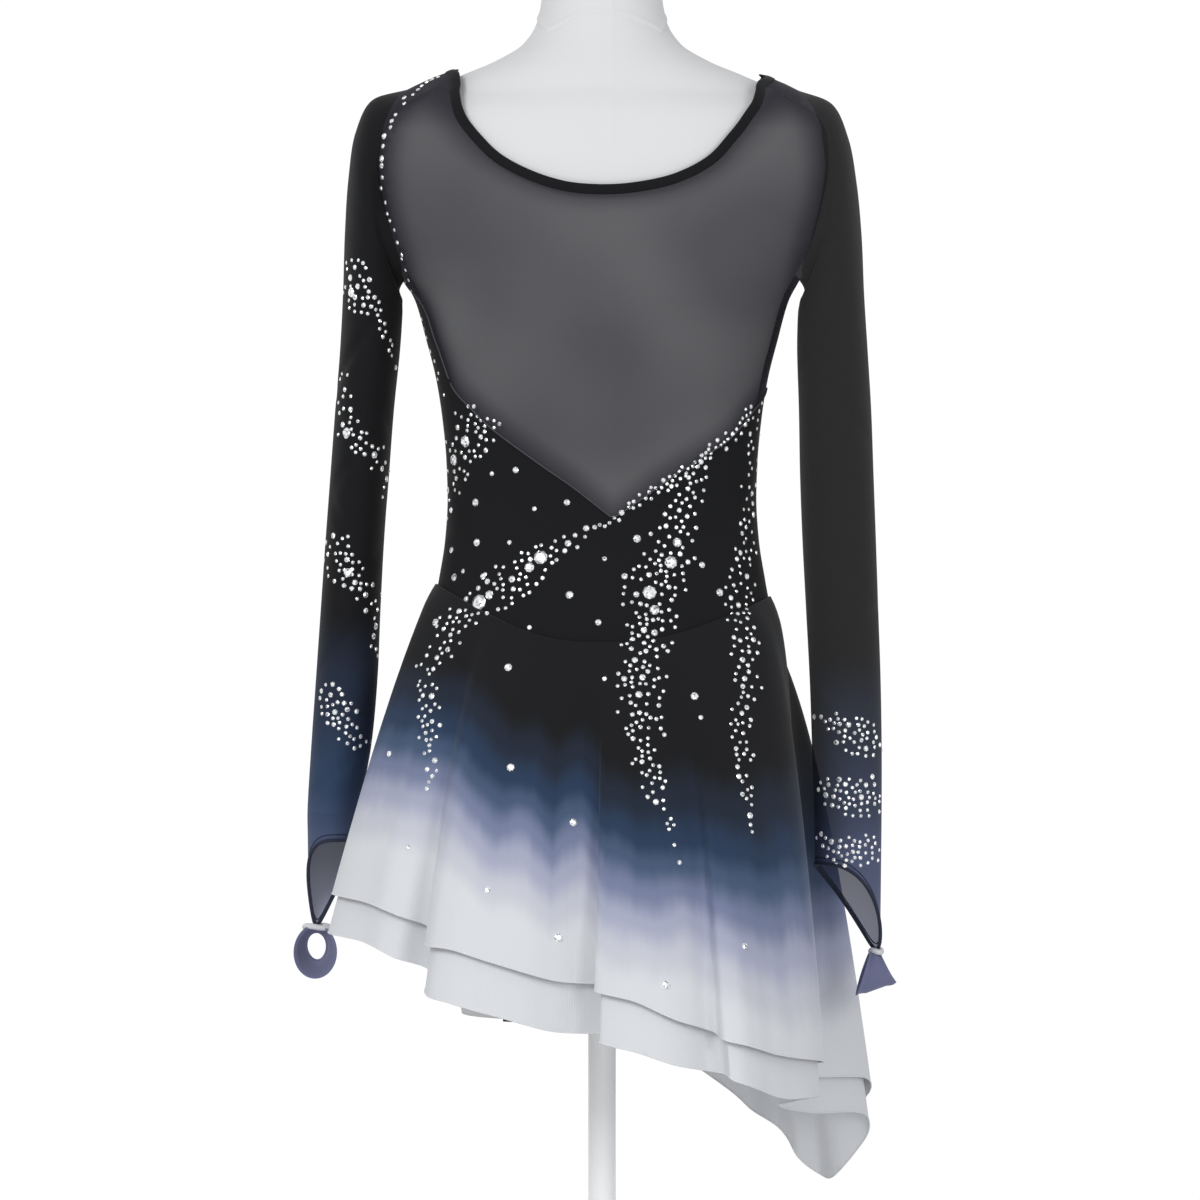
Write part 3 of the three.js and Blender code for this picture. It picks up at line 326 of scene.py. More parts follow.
below_left = resample(armhole_front_left, np.linspace(YOKE_ENDS_LEFT, 1, 60))
below_right = resample(armhole_front_right, np.linspace(YOKE_ENDS_RIGHT, 1, 40))
slant_marks = [mark(x, z, True) for x, z in FRONT_SLANT]
front_slant = seam_line([tuple(yoke_left[-1]), *slant_marks, tuple(yoke_right[-1])])


# Sheer back, lower bodice and front: each a thin sheet on the figure inside its own four seams
# Their nets are evened out until rows and columns run smoothly.
BOW_FADE = 4
EVEN_ROUNDS = 1400
EDGE_PARTS = 40


def panel(name, top, bottom, left, right, columns, rows, wrinkle=None):
    across = np.linspace(0, 1, columns + 1)
    down = np.linspace(0, 1, rows + 1)
    scale = np.array([ROUND_MM, 1])
    t, b = [resample(line, across) * scale for line in (top, bottom)]
    l, r = [resample(line, down) * scale for line in (left, right)]
    u, v = across[None, :, None], down[:, None, None]
    straight = t[None] * (1 - v) + b[None] * v
    bow_left = (l - (t[0] * (1 - down[:, None]) + b[0] * down[:, None]))[:, None]
    bow_right = (r - (t[-1] * (1 - down[:, None]) + b[-1] * down[:, None]))[:, None]
    net = straight + bow_left * (1 - u) ** BOW_FADE + bow_right * u ** BOW_FADE
    for _ in range(EVEN_ROUNDS):
        du = (net[1:-1, 2:] - net[1:-1, :-2]) / 2
        dv = (net[2:, 1:-1] - net[:-2, 1:-1]) / 2
        twist = (net[2:, 2:] - net[:-2, 2:] - net[2:, :-2] + net[:-2, :-2]) / 4
        wide = (du * du).sum(-1, keepdims=True)
        tall = (dv * dv).sum(-1, keepdims=True)
        lean = (du * dv).sum(-1, keepdims=True)
        beside = net[1:-1, 2:] + net[1:-1, :-2]
        above_below = net[2:, 1:-1] + net[:-2, 1:-1]
        net[1:-1, 1:-1] = (tall * beside + wide * above_below - 2 * lean * twist) / (2 * (wide + tall))
    turn, z = net[..., 0] / ROUND_MM, net[..., 1]
    out = np.full(turn.shape, CLOTH)
    if wrinkle is not None:
        out = out + wrinkle(turn, z)
    edge = np.concatenate([t, b, l, r])
    flat = net.reshape(-1, 1, 2)
    apart = np.concatenate([
        np.linalg.norm(part - edge[None], axis=-1).min(1) for part in np.array_split(flat, EDGE_PARTS)
    ])
    uv = (net[..., 0] / 1000, net[..., 1] / 1000)
    made = sheet_mesh(name, on_body(turn, z, out), uv=uv, edge=apart.reshape(turn.shape))
    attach(made, "root")
    return made


def trough(turn, z, x0, z0, x1, z1, width, depth):
    """A soft crease of the cloth along a short line given in turn-millimetres and height."""
    p = np.stack([turn * ROUND_MM, z], -1)
    a, b = np.array([x0, z0]), np.array([x1, z1])
    along = np.clip(((p - a) @ (b - a)) / ((b - a) @ (b - a)), 0, 1)
    off = np.linalg.norm(p - (a + along[..., None] * (b - a)), axis=-1)
    return depth * np.exp(-((off / width) ** 2)) * np.sin(math.pi * np.clip(0.15 + 0.7 * along, 0, 1))


# Creases of the sheer back: start and end in mm round the back and up it, width and depth
BACK_CREASES = [
    (118, 712, 128, 668, 4, 0.9),
    (134, 722, 142, 684, 3.5, 0.8),
    (103, 690, 112, 650, 4, 0.6),
    (-150, 752, -118, 690, 6, -0.7),
    (150, 780, 132, 720, 7, -0.8),
]


def back_wrinkles(turn, z):
    return sum(trough(turn, z, *row) for row in BACK_CREASES)


# Lines of stitching that show through the lower back, and soft creases drawn towards the waist
OVERLAY_SEAMS = [
    (-150, 640, -52, 586, 1.3, -0.5),
    (122, 606, 152, 592, 1.3, -0.5),
    (-128, 690, -30, 560, 1.2, 0.35),
    (36, 628, 96, 540, 1.2, 0.35),
]
LOWER_CREASES = [
    (-196, 640, -150, 612, 7, -0.9),
    (-204, 600, -160, 588, 6, -0.8),
    (206, 636, 160, 606, 7, -0.9),
    (200, 598, 166, 588, 6, -0.7),
    (-90, 548, -40, 534, 6, -0.5),
]


def lower_wrinkles(turn, z):
    return sum(trough(turn, z, *row) for row in OVERLAY_SEAMS + LOWER_CREASES)


fine = 120
shoulder_left = np.array([(-90, SHOULDER_Z), (-90, NECK_LEFT_Z)])
shoulder_right = np.array([(90, NECK_RIGHT_Z), (90, SHOULDER_Z)])
side_upper = np.array([(90, UNDERARM_Z), (90, V_RIGHT_SIDE_Z)])
side_lower = np.array([(90, V_RIGHT_SIDE_Z), (90, float(waist_z(90)))])
left_side = np.array([(-90, UNDERARM_Z), (-90, float(waist_z(-90)))])
back_mesh = panel(
    "sheer_back",
    np.concatenate([shoulder_left, back_neck[1:], shoulder_right[1:]]),
    v_line,
    armhole_back_left,
    np.concatenate([armhole_back_right, side_upper[1:]]),
    fine,
    fine // 2,
    back_wrinkles,
)
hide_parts("back_mesh")

back_bodice = panel(
    "lower_back_bodice",
    v_line,
    waist_line(-90, 90),
    left_side,
    side_lower,
    fine * 2,
    fine,
    lower_wrinkles,
)
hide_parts("back_bodice")

front_bodice = panel(
    "front_bodice_cloth",
    front_slant,
    waist_line(270, 90),
    np.concatenate([below_left, [(270, float(waist_z(270)))]]),
    np.concatenate([below_right, side_upper[1:], side_lower[1:]]),
    fine,
    fine // 2,
)
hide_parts("front_bodice")

front_yoke = panel(
    "sheer_front_yoke",
    np.concatenate([[(270, SHOULDER_Z), (270, NECK_LEFT_Z)], front_neck[1:], shoulder_right[1:]]),
    front_slant,
    yoke_left,
    yoke_right,
    fine,
    fine // 3,
)
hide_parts("front_yoke")


# Neck binding: a folded strip laid over the edge of the neckline, all the way round
# It stands up a little in the middle of its width.
BINDING_WIDTH = 7
BINDING_SLIM, SHOULDER_SPREAD = 0.4, 9
# Across the strip: share of its width, and how far out it stands
BINDING_SECTION = (
    (-0.04, 0.2), (-0.08, 1.4), (0, 2.3), (0.15, 2.8), (0.5, 3), (0.85, 2.8), (1, 2.3), (1.06, 1.6),
)
binding_loop = np.concatenate([
    resample(back_neck, np.linspace(0, 1, 161)), resample(front_neck[::-1], np.linspace(0, 1, 161))[1:-1]
])
binding_rows = []
here = body_point(binding_loop[:, 0], binding_loop[:, 1])
along = np.roll(here, -2, axis=0) - np.roll(here, 2, axis=0)
along /= np.linalg.norm(along, axis=1, keepdims=True)
small = 0.5
by_turn = (body_point(binding_loop[:, 0] + small, binding_loop[:, 1]) - here) / small
by_z = (body_point(binding_loop[:, 0], binding_loop[:, 1] - small) - here) / -small
normal = np.cross(by_turn, by_z)
normal /= np.linalg.norm(normal, axis=1, keepdims=True)
downward = np.cross(along, normal)
downward *= np.where(downward[:, 2] > 0, -1, 1)[:, None]
for _ in range(10):
    downward = (np.roll(downward, 1, axis=0) + downward + np.roll(downward, -1, axis=0)) / 3
downward /= np.linalg.norm(downward, axis=1, keepdims=True)
turn_turn, turn_z, z_z = (by_turn ** 2).sum(1), (by_turn * by_z).sum(1), (by_z ** 2).sum(1)
turn_down, z_down = (by_turn * downward).sum(1), (by_z * downward).sum(1)
square = turn_turn * z_z - turn_z * turn_z
per_turn = (z_z * turn_down - turn_z * z_down) / square
per_z = (turn_turn * z_down - turn_z * turn_down) / square
from_shoulder = np.abs((binding_loop[:, 0] + 180) % 360 - 180) - 90
slim = 1 - BINDING_SLIM * np.exp(-((from_shoulder / SHOULDER_SPREAD) ** 2))
for share, out in BINDING_SECTION:
    width = BINDING_WIDTH * share
    turn, z = binding_loop[:, 0] + per_turn * width, binding_loop[:, 1] + per_z * width
    binding_rows.append(on_body(turn, z, out * slim))
binding = sheet_mesh("neckline_binding", np.array(binding_rows), closed=True)
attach(binding, "root")
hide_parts("neck_binding")


# Sleeves: tubes from the armhole seams down to slanted hand covers
# Ring columns: outer and inner edge (x away from the middle, z), half depth, middle y and bow.
SLEEVE_LEFT = [
    (184, 944, 162, 793, 52, 4, 9),
    (197, 919, 161.5, 789, 53, 5, 5.5),
    (203, 882, 160, 785, 52, 7, 4),
    (206, 838, 160, 780, 50, 8, 1),
    (207.5, 790, 160, 772, 47, 8, 0),
    (210, 744, 162, 744, 45, 10, 0),
    (214, 696, 167, 696, 43, 12, 0),
    (218, 644, 171, 644, 41, 14, 0),
    (222, 592, 175, 592, 39, 16, 0),
    (226, 536, 178, 536, 37, 18, 0),
    (230, 480, 180.5, 480, 35, 20, 0),
    (234, 424, 186, 424, 32, 22, 0),
    (237, 374, 196, 374, 30, 24, 0),
]
SLEEVE_RIGHT = [
    (184, 941, 162, 793, 52, 4, 9),
    (197, 914, 161, 789, 53, 5, 5.5),
    (204, 877, 159, 785, 52, 7, 4),
    (208, 836, 158, 780, 50, 8, 1),
    (210, 790, 157, 772, 47, 8, 0),
    (213, 744, 156.5, 744, 44, 10, 0),
    (216, 696, 158, 696, 42, 12, 0),
    (218, 644, 159, 644, 40, 14, 0),
    (220, 592, 161, 592, 38, 16, 0),
    (222, 536, 164, 536, 36, 18, 0),
    (224, 480, 167, 480, 34, 20, 0),
    (225, 424, 169, 424, 32, 22, 0),
    (225, 366, 171, 366, 30, 24, 0),
]
# The hand covers: height of the near edge, height and place of the point, its turn and how far it draws in
CUFF_LEFT = (352, 281, 236, 44, 75, 0.65)
CUFF_RIGHT = (333, 262, 223, 36, 35, 0.45)
# Rows of a hand cover as shares of its length, how sharply it runs out to its point,
# and the rings until a sleeve's points are evenly spread
COVER_SHARES, COVER_SHARP, RINGS_TO_SPREAD = (0.35, 0.7, 1), 1.6, 4
SLEEVE_METRES = 0.28


def ring_points(side, ring, angles):
    out_x, out_z, in_x, in_z, deep, y, bow = ring
    across = np.cos(angles)
    x = (out_x + in_x) / 2 + (out_x - in_x) / 2 * across + bow * np.sin(angles) ** 2
    z = (out_z + in_z) / 2 + (out_z - in_z) / 2 * across
    return np.stack([side * x, y - np.sin(angles) * deep, z], -1)


def cuff_points(side, rings, cuff, angles, share):
    near_z, tip_z, tip_x, tip_y, tip_turn, draw = cuff
    start = ring_points(side, rings[-1], angles)
    pointed = (0.5 + 0.5 * np.cos(angles + math.radians(tip_turn))) ** COVER_SHARP
    drawn = (pointed * draw)[:, None]
    tip = np.array([side * tip_x, tip_y, 0])
    edge = start * (1 - drawn) + tip * drawn
    edge[:, 2] = near_z + (tip_z - near_z) * pointed
    return start + (edge - start) * share


def sleeve_grid(side, rings, cuff, back, front, columns, each):
    loop = np.concatenate([back, front[::-1][1:]])
    loop = resample(loop, np.arange(columns) / columns)
    first = rings[0]
    middle_z, half_z = (SHOULDER_Z + UNDERARM_Z) / 2, (SHOULDER_Z - UNDERARM_Z) / 2
    top = on_body(loop[:, 0], loop[:, 1], CLOTH)
    at = body_point(loop[:, 0], loop[:, 1])
    angles = np.arctan2(-(at[:, 1] - first[5]) / first[4], (at[:, 2] - middle_z) / half_z)
    angles = np.where((np.arange(columns) > columns // 4) & (angles < 0), angles + 2 * math.pi, angles)
    even = np.arange(columns) / columns * 2 * math.pi
    rows = [top]
    for r, ring in enumerate(rings):
        share = min(1, (r + 1) / RINGS_TO_SPREAD)
        rows.append(ring_points(side, ring, angles + (even - angles) * share))
    for share in COVER_SHARES:
        rows.append(cuff_points(side, rings, cuff, even, share))
    rows = np.array(rows)
    smooth = curve(rows.reshape(len(rows), -1), each).reshape(-1, columns, 3)
    return smooth, even


# Creases of each sleeve: height, slant in mm across the width, turn of the middle (90 is the back),
# half spread in degrees, width and depth in mm
CREASES_LEFT = [
    (742, 26, 60, 50, 6, -2.1), (700, -18, 120, 42, 5, -1.5), (655, 22, 80, 46, 5, -1.7),
    (604, -20, 70, 40, 6, -1.9), (566, 16, 110, 48, 5, -2.1), (508, 20, 75, 44, 5, -1.7),
    (452, -16, 100, 40, 5, -1.5), (404, 18, 80, 42, 4, -1.7), (680, 20, 270, 46, 6, -1.7),
    (590, -18, 250, 50, 6, -1.9), (520, 14, 290, 40, 5, -1.7), (440, -14, 260, 44, 5, -1.5),
]
CREASES_RIGHT = [
    (752, -24, 110, 48, 6, -1.9), (690, 20, 70, 44, 5, -1.5), (628, -18, 100, 46, 5, -1.7),
    (574, 22, 90, 40, 6, -1.9), (520, -16, 60, 44, 5, -1.7), (470, 18, 110, 46, 5, -1.5),
    (420, -14, 90, 40, 4, -1.5), (670, -20, 270, 46, 6, -1.7), (580, 18, 280, 50, 6, -1.9),
    (500, -14, 250, 42, 5, -1.5),
]


def creased(grid, angles, creases):
    """Pushes a tube's points in or out along soft slanting troughs."""
    around = np.roll(grid, -1, 1) - np.roll(grid, 1, 1)
    down = np.gradient(grid, axis=0)
    normal = np.cross(around, down)
    normal /= np.maximum(np.linalg.norm(normal, axis=-1, keepdims=True), 1e-9)
    middle = grid.mean(1, keepdims=True)
    inside = ((grid - middle) * normal).sum(-1).mean() < 0
    normal = -normal if inside else normal
    turn = np.degrees(angles)[None]
    shift = np.zeros(grid.shape[:2])
    for z, slant, at, spread, width, depth in creases:
        off = (turn - at + 180) % 360 - 180
        line = z + slant * off / 45
        along = np.exp(-((off / spread) ** 4))
        shift += depth * np.exp(-(((grid[..., 2] - line) / width) ** 2)) * along
    return grid + normal * shift[..., None]


def make_sleeve(name, side, rings, cuff, back, front, creases):
    columns, each = ((128, 9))
    grid, angles = sleeve_grid(side, rings, cuff, back, front, columns, each)
    grid = creased(grid, angles, creases)
    if side > 0:
        grid, angles = grid[:, ::-1], angles[::-1]
    drop = np.concatenate([[0], np.cumsum(np.linalg.norm(np.diff(grid.mean(1), axis=0), axis=1))])
    u = np.broadcast_to(np.degrees(angles) / 360 * SLEEVE_METRES, grid.shape[:2])
    v = np.broadcast_to(-drop[:, None] / 1000, grid.shape[:2])
    seam = len(rings) * each
    made = []
    for piece, rows in ((name + "_sleeve", slice(0, seam + 1)), (name + "_hand_cover", slice(seam, None))):
        part = grid[rows]
        made.append(sheet_mesh(piece, part, closed=True, uv=(u[rows], v[rows]), height=part[..., 2] / 1000))
        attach(made[-1], "root")
    return *made, grid


sleeve_left, cover_left, left_grid = make_sleeve(
    "left", -1, SLEEVE_LEFT, CUFF_LEFT, armhole_back_left, armhole_front_left - [360, 0], CREASES_LEFT
)
sleeve_right, cover_right, right_grid = make_sleeve(
    "right", 1, SLEEVE_RIGHT, CUFF_RIGHT, armhole_back_right, armhole_front_right, CREASES_RIGHT
)
for piece, node, slot in (
    (sleeve_left, "sleeve_left", "sleeve_stretch"),
    (cover_left, "hand_cover_left", "sleeve_stretch"),
    (sleeve_right, "sleeve_right", "sleeve_mesh"),
    (cover_right, "hand_cover_right", "sleeve_mesh"),
):
    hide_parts(node)


# Bound edges of the hand covers, with the second line of their double hems
# Each is a slim round cord swept along a closed line.
def cord_mesh(name, path, radius, sides=8, closed=True):
    path = np.asarray(path, float)
    if closed:
        ahead, behind = np.roll(path, -1, 0), np.roll(path, 1, 0)
    else:
        ahead, behind = np.concatenate([path[1:], path[-1:]]), np.concatenate([path[:1], path[:-1]])
    along = ahead - behind
    along /= np.maximum(np.linalg.norm(along, axis=1, keepdims=True), 1e-9)
    up = np.where(np.abs(along[:, 2:]) > 0.9, np.array([[0, 1, 0]]), np.array([[0, 0, 1]]))
    one = np.cross(along, up)
    one /= np.linalg.norm(one, axis=1, keepdims=True)
    other = np.cross(one, along)
    turns = np.arange(sides) / sides * 2 * math.pi
    radius = np.broadcast_to(np.asarray(radius, float), (len(path),))[:, None, None]
    cosine, sine = [part(turns)[None, :, None] for part in (np.cos, np.sin)]
    grid = path[:, None] + (one[:, None] * cosine + other[:, None] * sine) * radius
    if closed:
        grid = np.concatenate([grid, grid[:1]])
    else:
        grid = np.concatenate([path[None, :1].repeat(sides, 1), grid, path[None, -1:].repeat(sides, 1)])
    made = sheet_mesh(name, grid, closed=True)
    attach(made, "root")
    return made


HEM_LINE_UP, CUFF_EDGE_RADIUS, STITCH_RADIUS = 4.5, 1.5, 0.5


def up_from_hem(grid, far):
    toward = grid[-3] - grid[-1]
    return grid[-1] + toward / np.linalg.norm(toward, axis=1, keepdims=True) * far


cuff_edge_left = cord_mesh("left_cuff_edge", left_grid[-1], CUFF_EDGE_RADIUS)
cuff_edge_right = cord_mesh("right_cuff_edge", right_grid[-1], CUFF_EDGE_RADIUS)
hem_path_left, hem_path_right = [up_from_hem(grid, HEM_LINE_UP) for grid in (left_grid, right_grid)]
hem_line_left = cord_mesh("left_hem_stitches", hem_path_left, STITCH_RADIUS, sides=6)
hem_line_right = cord_mesh("right_hem_stitches", hem_path_right, STITCH_RADIUS, sides=6)


# Finger loops: strips gathered at a knot under each hand cover's point, wide below
# Each loop: half its width and height inside the strip, how far its middle lies under the point,
# how far it opens, and how far its tie reaches across and from front to back
LOOP_LEFT = (12.4, 16.2, 19.4, 6.4, 9.5, 4.2)
LOOP_RIGHT = (12, 14.6, 17.4, 5, 4.2, 6.5)
TIE_UNDER, TIE_WAVE, TIE_RADIUS = 1.5, 0.8, 2.4
LOOP_CLOTH, LOOP_KNOT, LOOP_LOW = 1.4, 9, 33
RIPPLE, RIPPLES_ACROSS, RIPPLE_TWIST, RIPPLE_FADE = 0.8, 3.2, 0.8, 0.35
SEAM = 0.2


def make_loop(name, side, rings, cuff, loop, turned):
    half_across, half_tall, under, opening, tie_x, tie_y = loop
    angle = np.array([-math.radians(cuff[4])])
    tip = cuff_points(side, rings, cuff, angle, 1)[0]
    middle_z = tip[2] - under
    turns = np.linspace(0, 2 * math.pi, 49)
    section = np.linspace(0, 2 * math.pi, 24, endpoint=False)
    wide = np.abs(np.cos(section)) ** 0.5 * np.sign(np.cos(section))
    thick = np.abs(np.sin(section)) ** 0.8 * np.sign(np.sin(section))
    rows = []
    for turn in turns:
        low = (1 - math.cos(turn)) / 2
        half = (LOOP_KNOT + (LOOP_LOW - LOOP_KNOT) * low) / 2
        wave = np.sin(RIPPLES_ACROSS * wide * math.pi + RIPPLE_TWIST * np.sin(turn))
        ripple = RIPPLE * wave * (1 - RIPPLE_FADE * low)
        opens = -wide * opening * (0.5 + 0.5 * low)
        out = thick * LOOP_CLOTH / 2 + ripple + opens
        across = math.sin(turn) * (half_across + out)
        up = math.cos(turn) * (half_tall + out)
        dx, dy = (wide * half, across) if turned else (across, wide * half)
        rows.append(np.stack([tip[0] + dx, tip[1] + dy, middle_z + up], -1))
    grid = np.array(rows)
    made = sheet_mesh(name, grid, closed=True, height=grid[..., 2] / 1000)
    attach(made, "root")
    turns = np.linspace(0, 2 * math.pi, 25)[:-1]
    x, y = tip[0] + tie_x * np.cos(turns), tip[1] + tie_y * np.sin(turns)
    z = tip[2] - TIE_UNDER + TIE_WAVE * np.sin(2 * turns)
    tie = cord_mesh(name + "_tie", np.stack([x, y, z], -1), TIE_RADIUS)
    return made, tie


loop_left, tie_left = make_loop("left_finger_loop", -1, SLEEVE_LEFT, CUFF_LEFT, LOOP_LEFT, False)
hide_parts("finger_loop_left")
loop_right, tie_right = make_loop("right_finger_loop", 1, SLEEVE_RIGHT, CUFF_RIGHT, LOOP_RIGHT, True)
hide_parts("finger_loop_right")


# Skirt: two layers hanging from the dropped waist seam in uneven folds
# Fold columns: turn at the seam, where its hem hangs, hem heights of both layers, how late it opens.
FOLD_COLUMNS = ("turn", "x", "y", "upper", "under", "late")
FOLDS = np.array([
    (-3, -1.5, -150, 248, 210, 1.1),
    (2, -2.5, -174, 244, 206, 1.1),
    (10, 27, -186, 237, 200, 1.1),
    (18, 57, -184, 223, 190, 1.1),
    (26, 86, -169, 213, 183, 1),
    (32, 95, -187, 208, 180, 1),
    (39, 118, -178, 201, 172, 1),
    (51, 144, -150, 192, 161, 0.8),
    (67, 172, -100, 184, 158, 0.6),
    (81, 152, -34, 176, 146, 1),
    (95, 150, 22, 166, 136, 1),
    (106, 172, 74, 156, 126, 0.8),
    (116, 219, 112, 148, 118, 0.5),
    (125, 184, 136, 104, 66, 0.9),
    (134, 150, 150, 134, 99, 1),
    (143, 112, 152, 164, 132, 1.1),
    (154, 72, 170, 192, 160, 1.1),
    (167, 36, 150, 210, 178, 1.1),
    (180, -8, 168, 228, 196, 1.1),
    (194, -56, 146, 244, 212, 1.1),
    (208, -98, 158, 262, 230, 1.1),
    (222, -134, 124, 280, 250, 1),
    (240, -180, 100, 300, 270, 0.9),
    (258, -160, 34, 308, 280, 1),
    (271, -160, -20, 312, 284, 1),
    (284, -211, -60, 313, 284, 1.1),
    (298, -183, -100, 308, 279, 1.1),
    (306, -158, -119, 299, 268, 1.1),
    (312, -134, -116, 290, 258, 1.1),
    (317, -135, -142, 278, 242, 1.1),
    (324, -114, -160, 275, 236, 1.1),
    (335, -78, -168, 264, 226, 1.1),
    (347, -38, -162, 252, 214, 1.1),
])
FLARE_LEFT, FLARE_RIGHT, FLARE_BACK, FLARE_FRONT = 190, 178, 152, 142
FAST_LEFT, FAST_RIGHT, FLARE_START = 0.5, 0.27, 0.04
SKIRT_OUT, SKIRT_CLOTH, LAYER_GAP = 3.6, 1.2, 4
SEAM_OUT, LEAVES_BY, HEM_METRES, HEM_RADIUS = 2.4, 0.06, 1.35, 0.6
LAYERS_PART_BY, UNDER_RIPPLES, ROWS_SPREAD = 0.25, 0.6, 0.9
FOLD_REACH, FALL_REACH = 0.7, 0.02


def fold_at(place):
    """The fold table's values at places along the hem, smooth and all the way round."""
    count = len(FOLDS)
    start = np.floor(place).astype(int)
    t = (place - start)[..., None]
    rows = []
    for offset in (-1, 0, 1, 2):
        index = start + offset
        row = FOLDS[index % count].copy()
        row[..., 0] += 360 * np.floor_divide(index, count)
        rows.append(row)
    a, b, c, d = rows
    bend, twist = 2 * a - 5 * b + 4 * c - d, 3 * b - a - 3 * c + d
    made = 0.5 * (2 * b + (c - a) * t + bend * t * t + twist * t ** 3)
    return {key: made[..., k] for k, key in enumerate(FOLD_COLUMNS)}


def skirt_point(place, down):
    fold = fold_at(place)
    leaving = np.clip(down / LEAVES_BY, 0, 1)
    top = on_body(fold["turn"], waist_z(fold["turn"]), SEAM_OUT + (SKIRT_OUT - SEAM_OUT) * leaving)
    sine, cosine = np.sin(np.radians(fold["turn"])), np.cos(np.radians(fold["turn"]))
    flare_x = sine * np.where(sine > 0, FLARE_RIGHT, FLARE_LEFT)
    flare_y = -cosine * np.where(cosine > 0, FLARE_BACK, FLARE_FRONT)
    fast = FAST_LEFT + (FAST_RIGHT - FAST_LEFT) * (1 + sine) / 2
    start = FLARE_START ** fast
    opened = ((down + FLARE_START) ** fast - start) / ((1 + FLARE_START) ** fast - start)
    folded = np.maximum(down, 0) ** fold["late"]
    x = top[..., 0] + (flare_x - top[..., 0]) * opened + (fold["x"] - flare_x) * folded
    y = top[..., 1] + (flare_y - top[..., 1]) * opened + (fold["y"] - flare_y) * folded
    z = top[..., 2] + (fold["upper"] - top[..., 2]) * down
    return np.stack([x, y, z], -1)


def skirt_offset(place, down, out):
    around = skirt_point(place + FOLD_REACH, down) - skirt_point(place - FOLD_REACH, down)
    above = np.maximum(0, down - FALL_REACH)
    fall = skirt_point(place, down + FALL_REACH) - skirt_point(place, above)
    normal = np.cross(fall, around)
    normal /= np.linalg.norm(normal, axis=-1, keepdims=True)
    return skirt_point(place, down) + normal * np.asarray(out)[..., None]


# Small ripples between the folds: place along the hem, width in folds, depth in mm, where it starts
RIPPLES = [
    (0.9, 0.30, 1.6, 0.35), (2.3, 0.34, -1.8, 0.25), (3.4, 0.25, 1.2, 0.5), (5.6, 0.30, 1.6, 0.3),
    (6.5, 0.28, -1.4, 0.45), (7.4, 0.35, 1.8, 0.2), (8.4, 0.3, 1.5, 0.5), (10.4, 0.3, -1.6, 0.3),
    (11.5, 0.3, 1.4, 0.4), (13.5, 0.28, -1.5, 0.35), (15.2, 0.4, 1.8, 0.3), (16.6, 0.3, -1.5, 0.45),
    (18.4, 0.35, 1.7, 0.25), (20.3, 0.3, -1.6, 0.4), (21.6, 0.3, 1.5, 0.35), (23.4, 0.32, -1.6, 0.3),
    (24.6, 0.3, 1.2, 0.5), (26.5, 0.3, 1.5, 0.3), (27.6, 0.25, -1.2, 0.45), (29.4, 0.3, 1.4, 0.4),
    (30.5, 0.34, -1.9, 0.2), (31.6, 0.3, 1.7, 0.35), (32.5, 0.28, -1.3, 0.5),
    (12.3, 0.2, 4.6, 0.5), (12.75, 0.2, -5, 0.45), (13.2, 0.22, 6.4, 0.4), (13.7, 0.2, -5.6, 0.45),
    (14.2, 0.24, 6.2, 0.5), (14.7, 0.2, -4.6, 0.5), (9.5, 0.26, -2.6, 0.45), (9.0, 0.24, 2.4, 0.5),
]


# How much lower the dye starts round the skirt, partly the dye's own uneven line and partly painted shade in
# the creases beside the folds: turn and share of the drop
DYE_LOWER_AND_CREASE_SHADE = np.array([
    (-90, 0.05), (-60, 0), (-45, -0.04), (-38, 0), (-28, 0.05), (-20, 0.02), (-14, 0.08), (-7, 0.025),
    (0, 0.08), (3, 0.135), (10, 0.15), (18, 0.12), (24, 0.10), (32, 0.12), (45, 0.145), (60, 0.14),
    (90, 0.12), (135, 0.06), (150, 0.11), (180, 0.06), (205, 0.09), (230, 0.03), (250, 0.08), (270, 0.05),
])


def make_skirt(name, under):
    count = len(FOLDS)
    columns, rows = ((count * 12, 90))
    place = np.arange(columns) / columns * count
    level = np.linspace(0, 1, rows + 1) ** ROWS_SPREAD
    place, level = np.meshgrid(place, level)
    fold = fold_at(place)
    top_z = waist_z(fold["turn"])
    down = level * (top_z - fold["under"]) / (top_z - fold["upper"]) if under else level
    shift = np.zeros(place.shape)
    for at, width, depth, starts in RIPPLES:
        off = (place - at + count / 2) % count - count / 2
        grown = np.clip((down - starts) / (1 - starts), 0, 1.2)
        shift += depth * np.exp(-((off / width) ** 2)) * grown * grown * (3 - 2 * np.minimum(grown, 1))
    gap = 2 * SEAM + (LAYER_GAP - 2 * SEAM) * np.minimum(1, level / LAYERS_PART_BY)
    out = (shift * UNDER_RIPPLES - gap) if under else (SKIRT_CLOTH + shift)
    grid = skirt_offset(place, down, out)
    steps = np.linalg.norm(np.diff(grid, axis=0), axis=2)
    length = np.concatenate([np.zeros((1, columns)), np.cumsum(steps, 0)])
    uv = (place / count * HEM_METRES, -length / 1000)
    # The dye is moved lower, so darker, in the creases beside the folds as painted shade.
    lower = np.interp((fold["turn"] + 90) % 360 - 90, DYE_LOWER_AND_CREASE_SHADE[:, 0], DYE_LOWER_AND_CREASE_SHADE[:, 1])
    made = sheet_mesh(name, grid, closed=True, uv=uv, dye=down - lower)
    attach(made, "root")
    return made, grid


skirt_upper, upper_grid = make_skirt("upper_skirt_layer", False)
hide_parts("skirt_upper")
skirt_under, under_grid = make_skirt("under_skirt_layer", True)
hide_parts("skirt_under")
hem_upper = cord_mesh("upper_rolled_hem", upper_grid[-1], HEM_RADIUS, sides=6)
hem_under = cord_mesh("under_rolled_hem", under_grid[-1], HEM_RADIUS, sides=6)


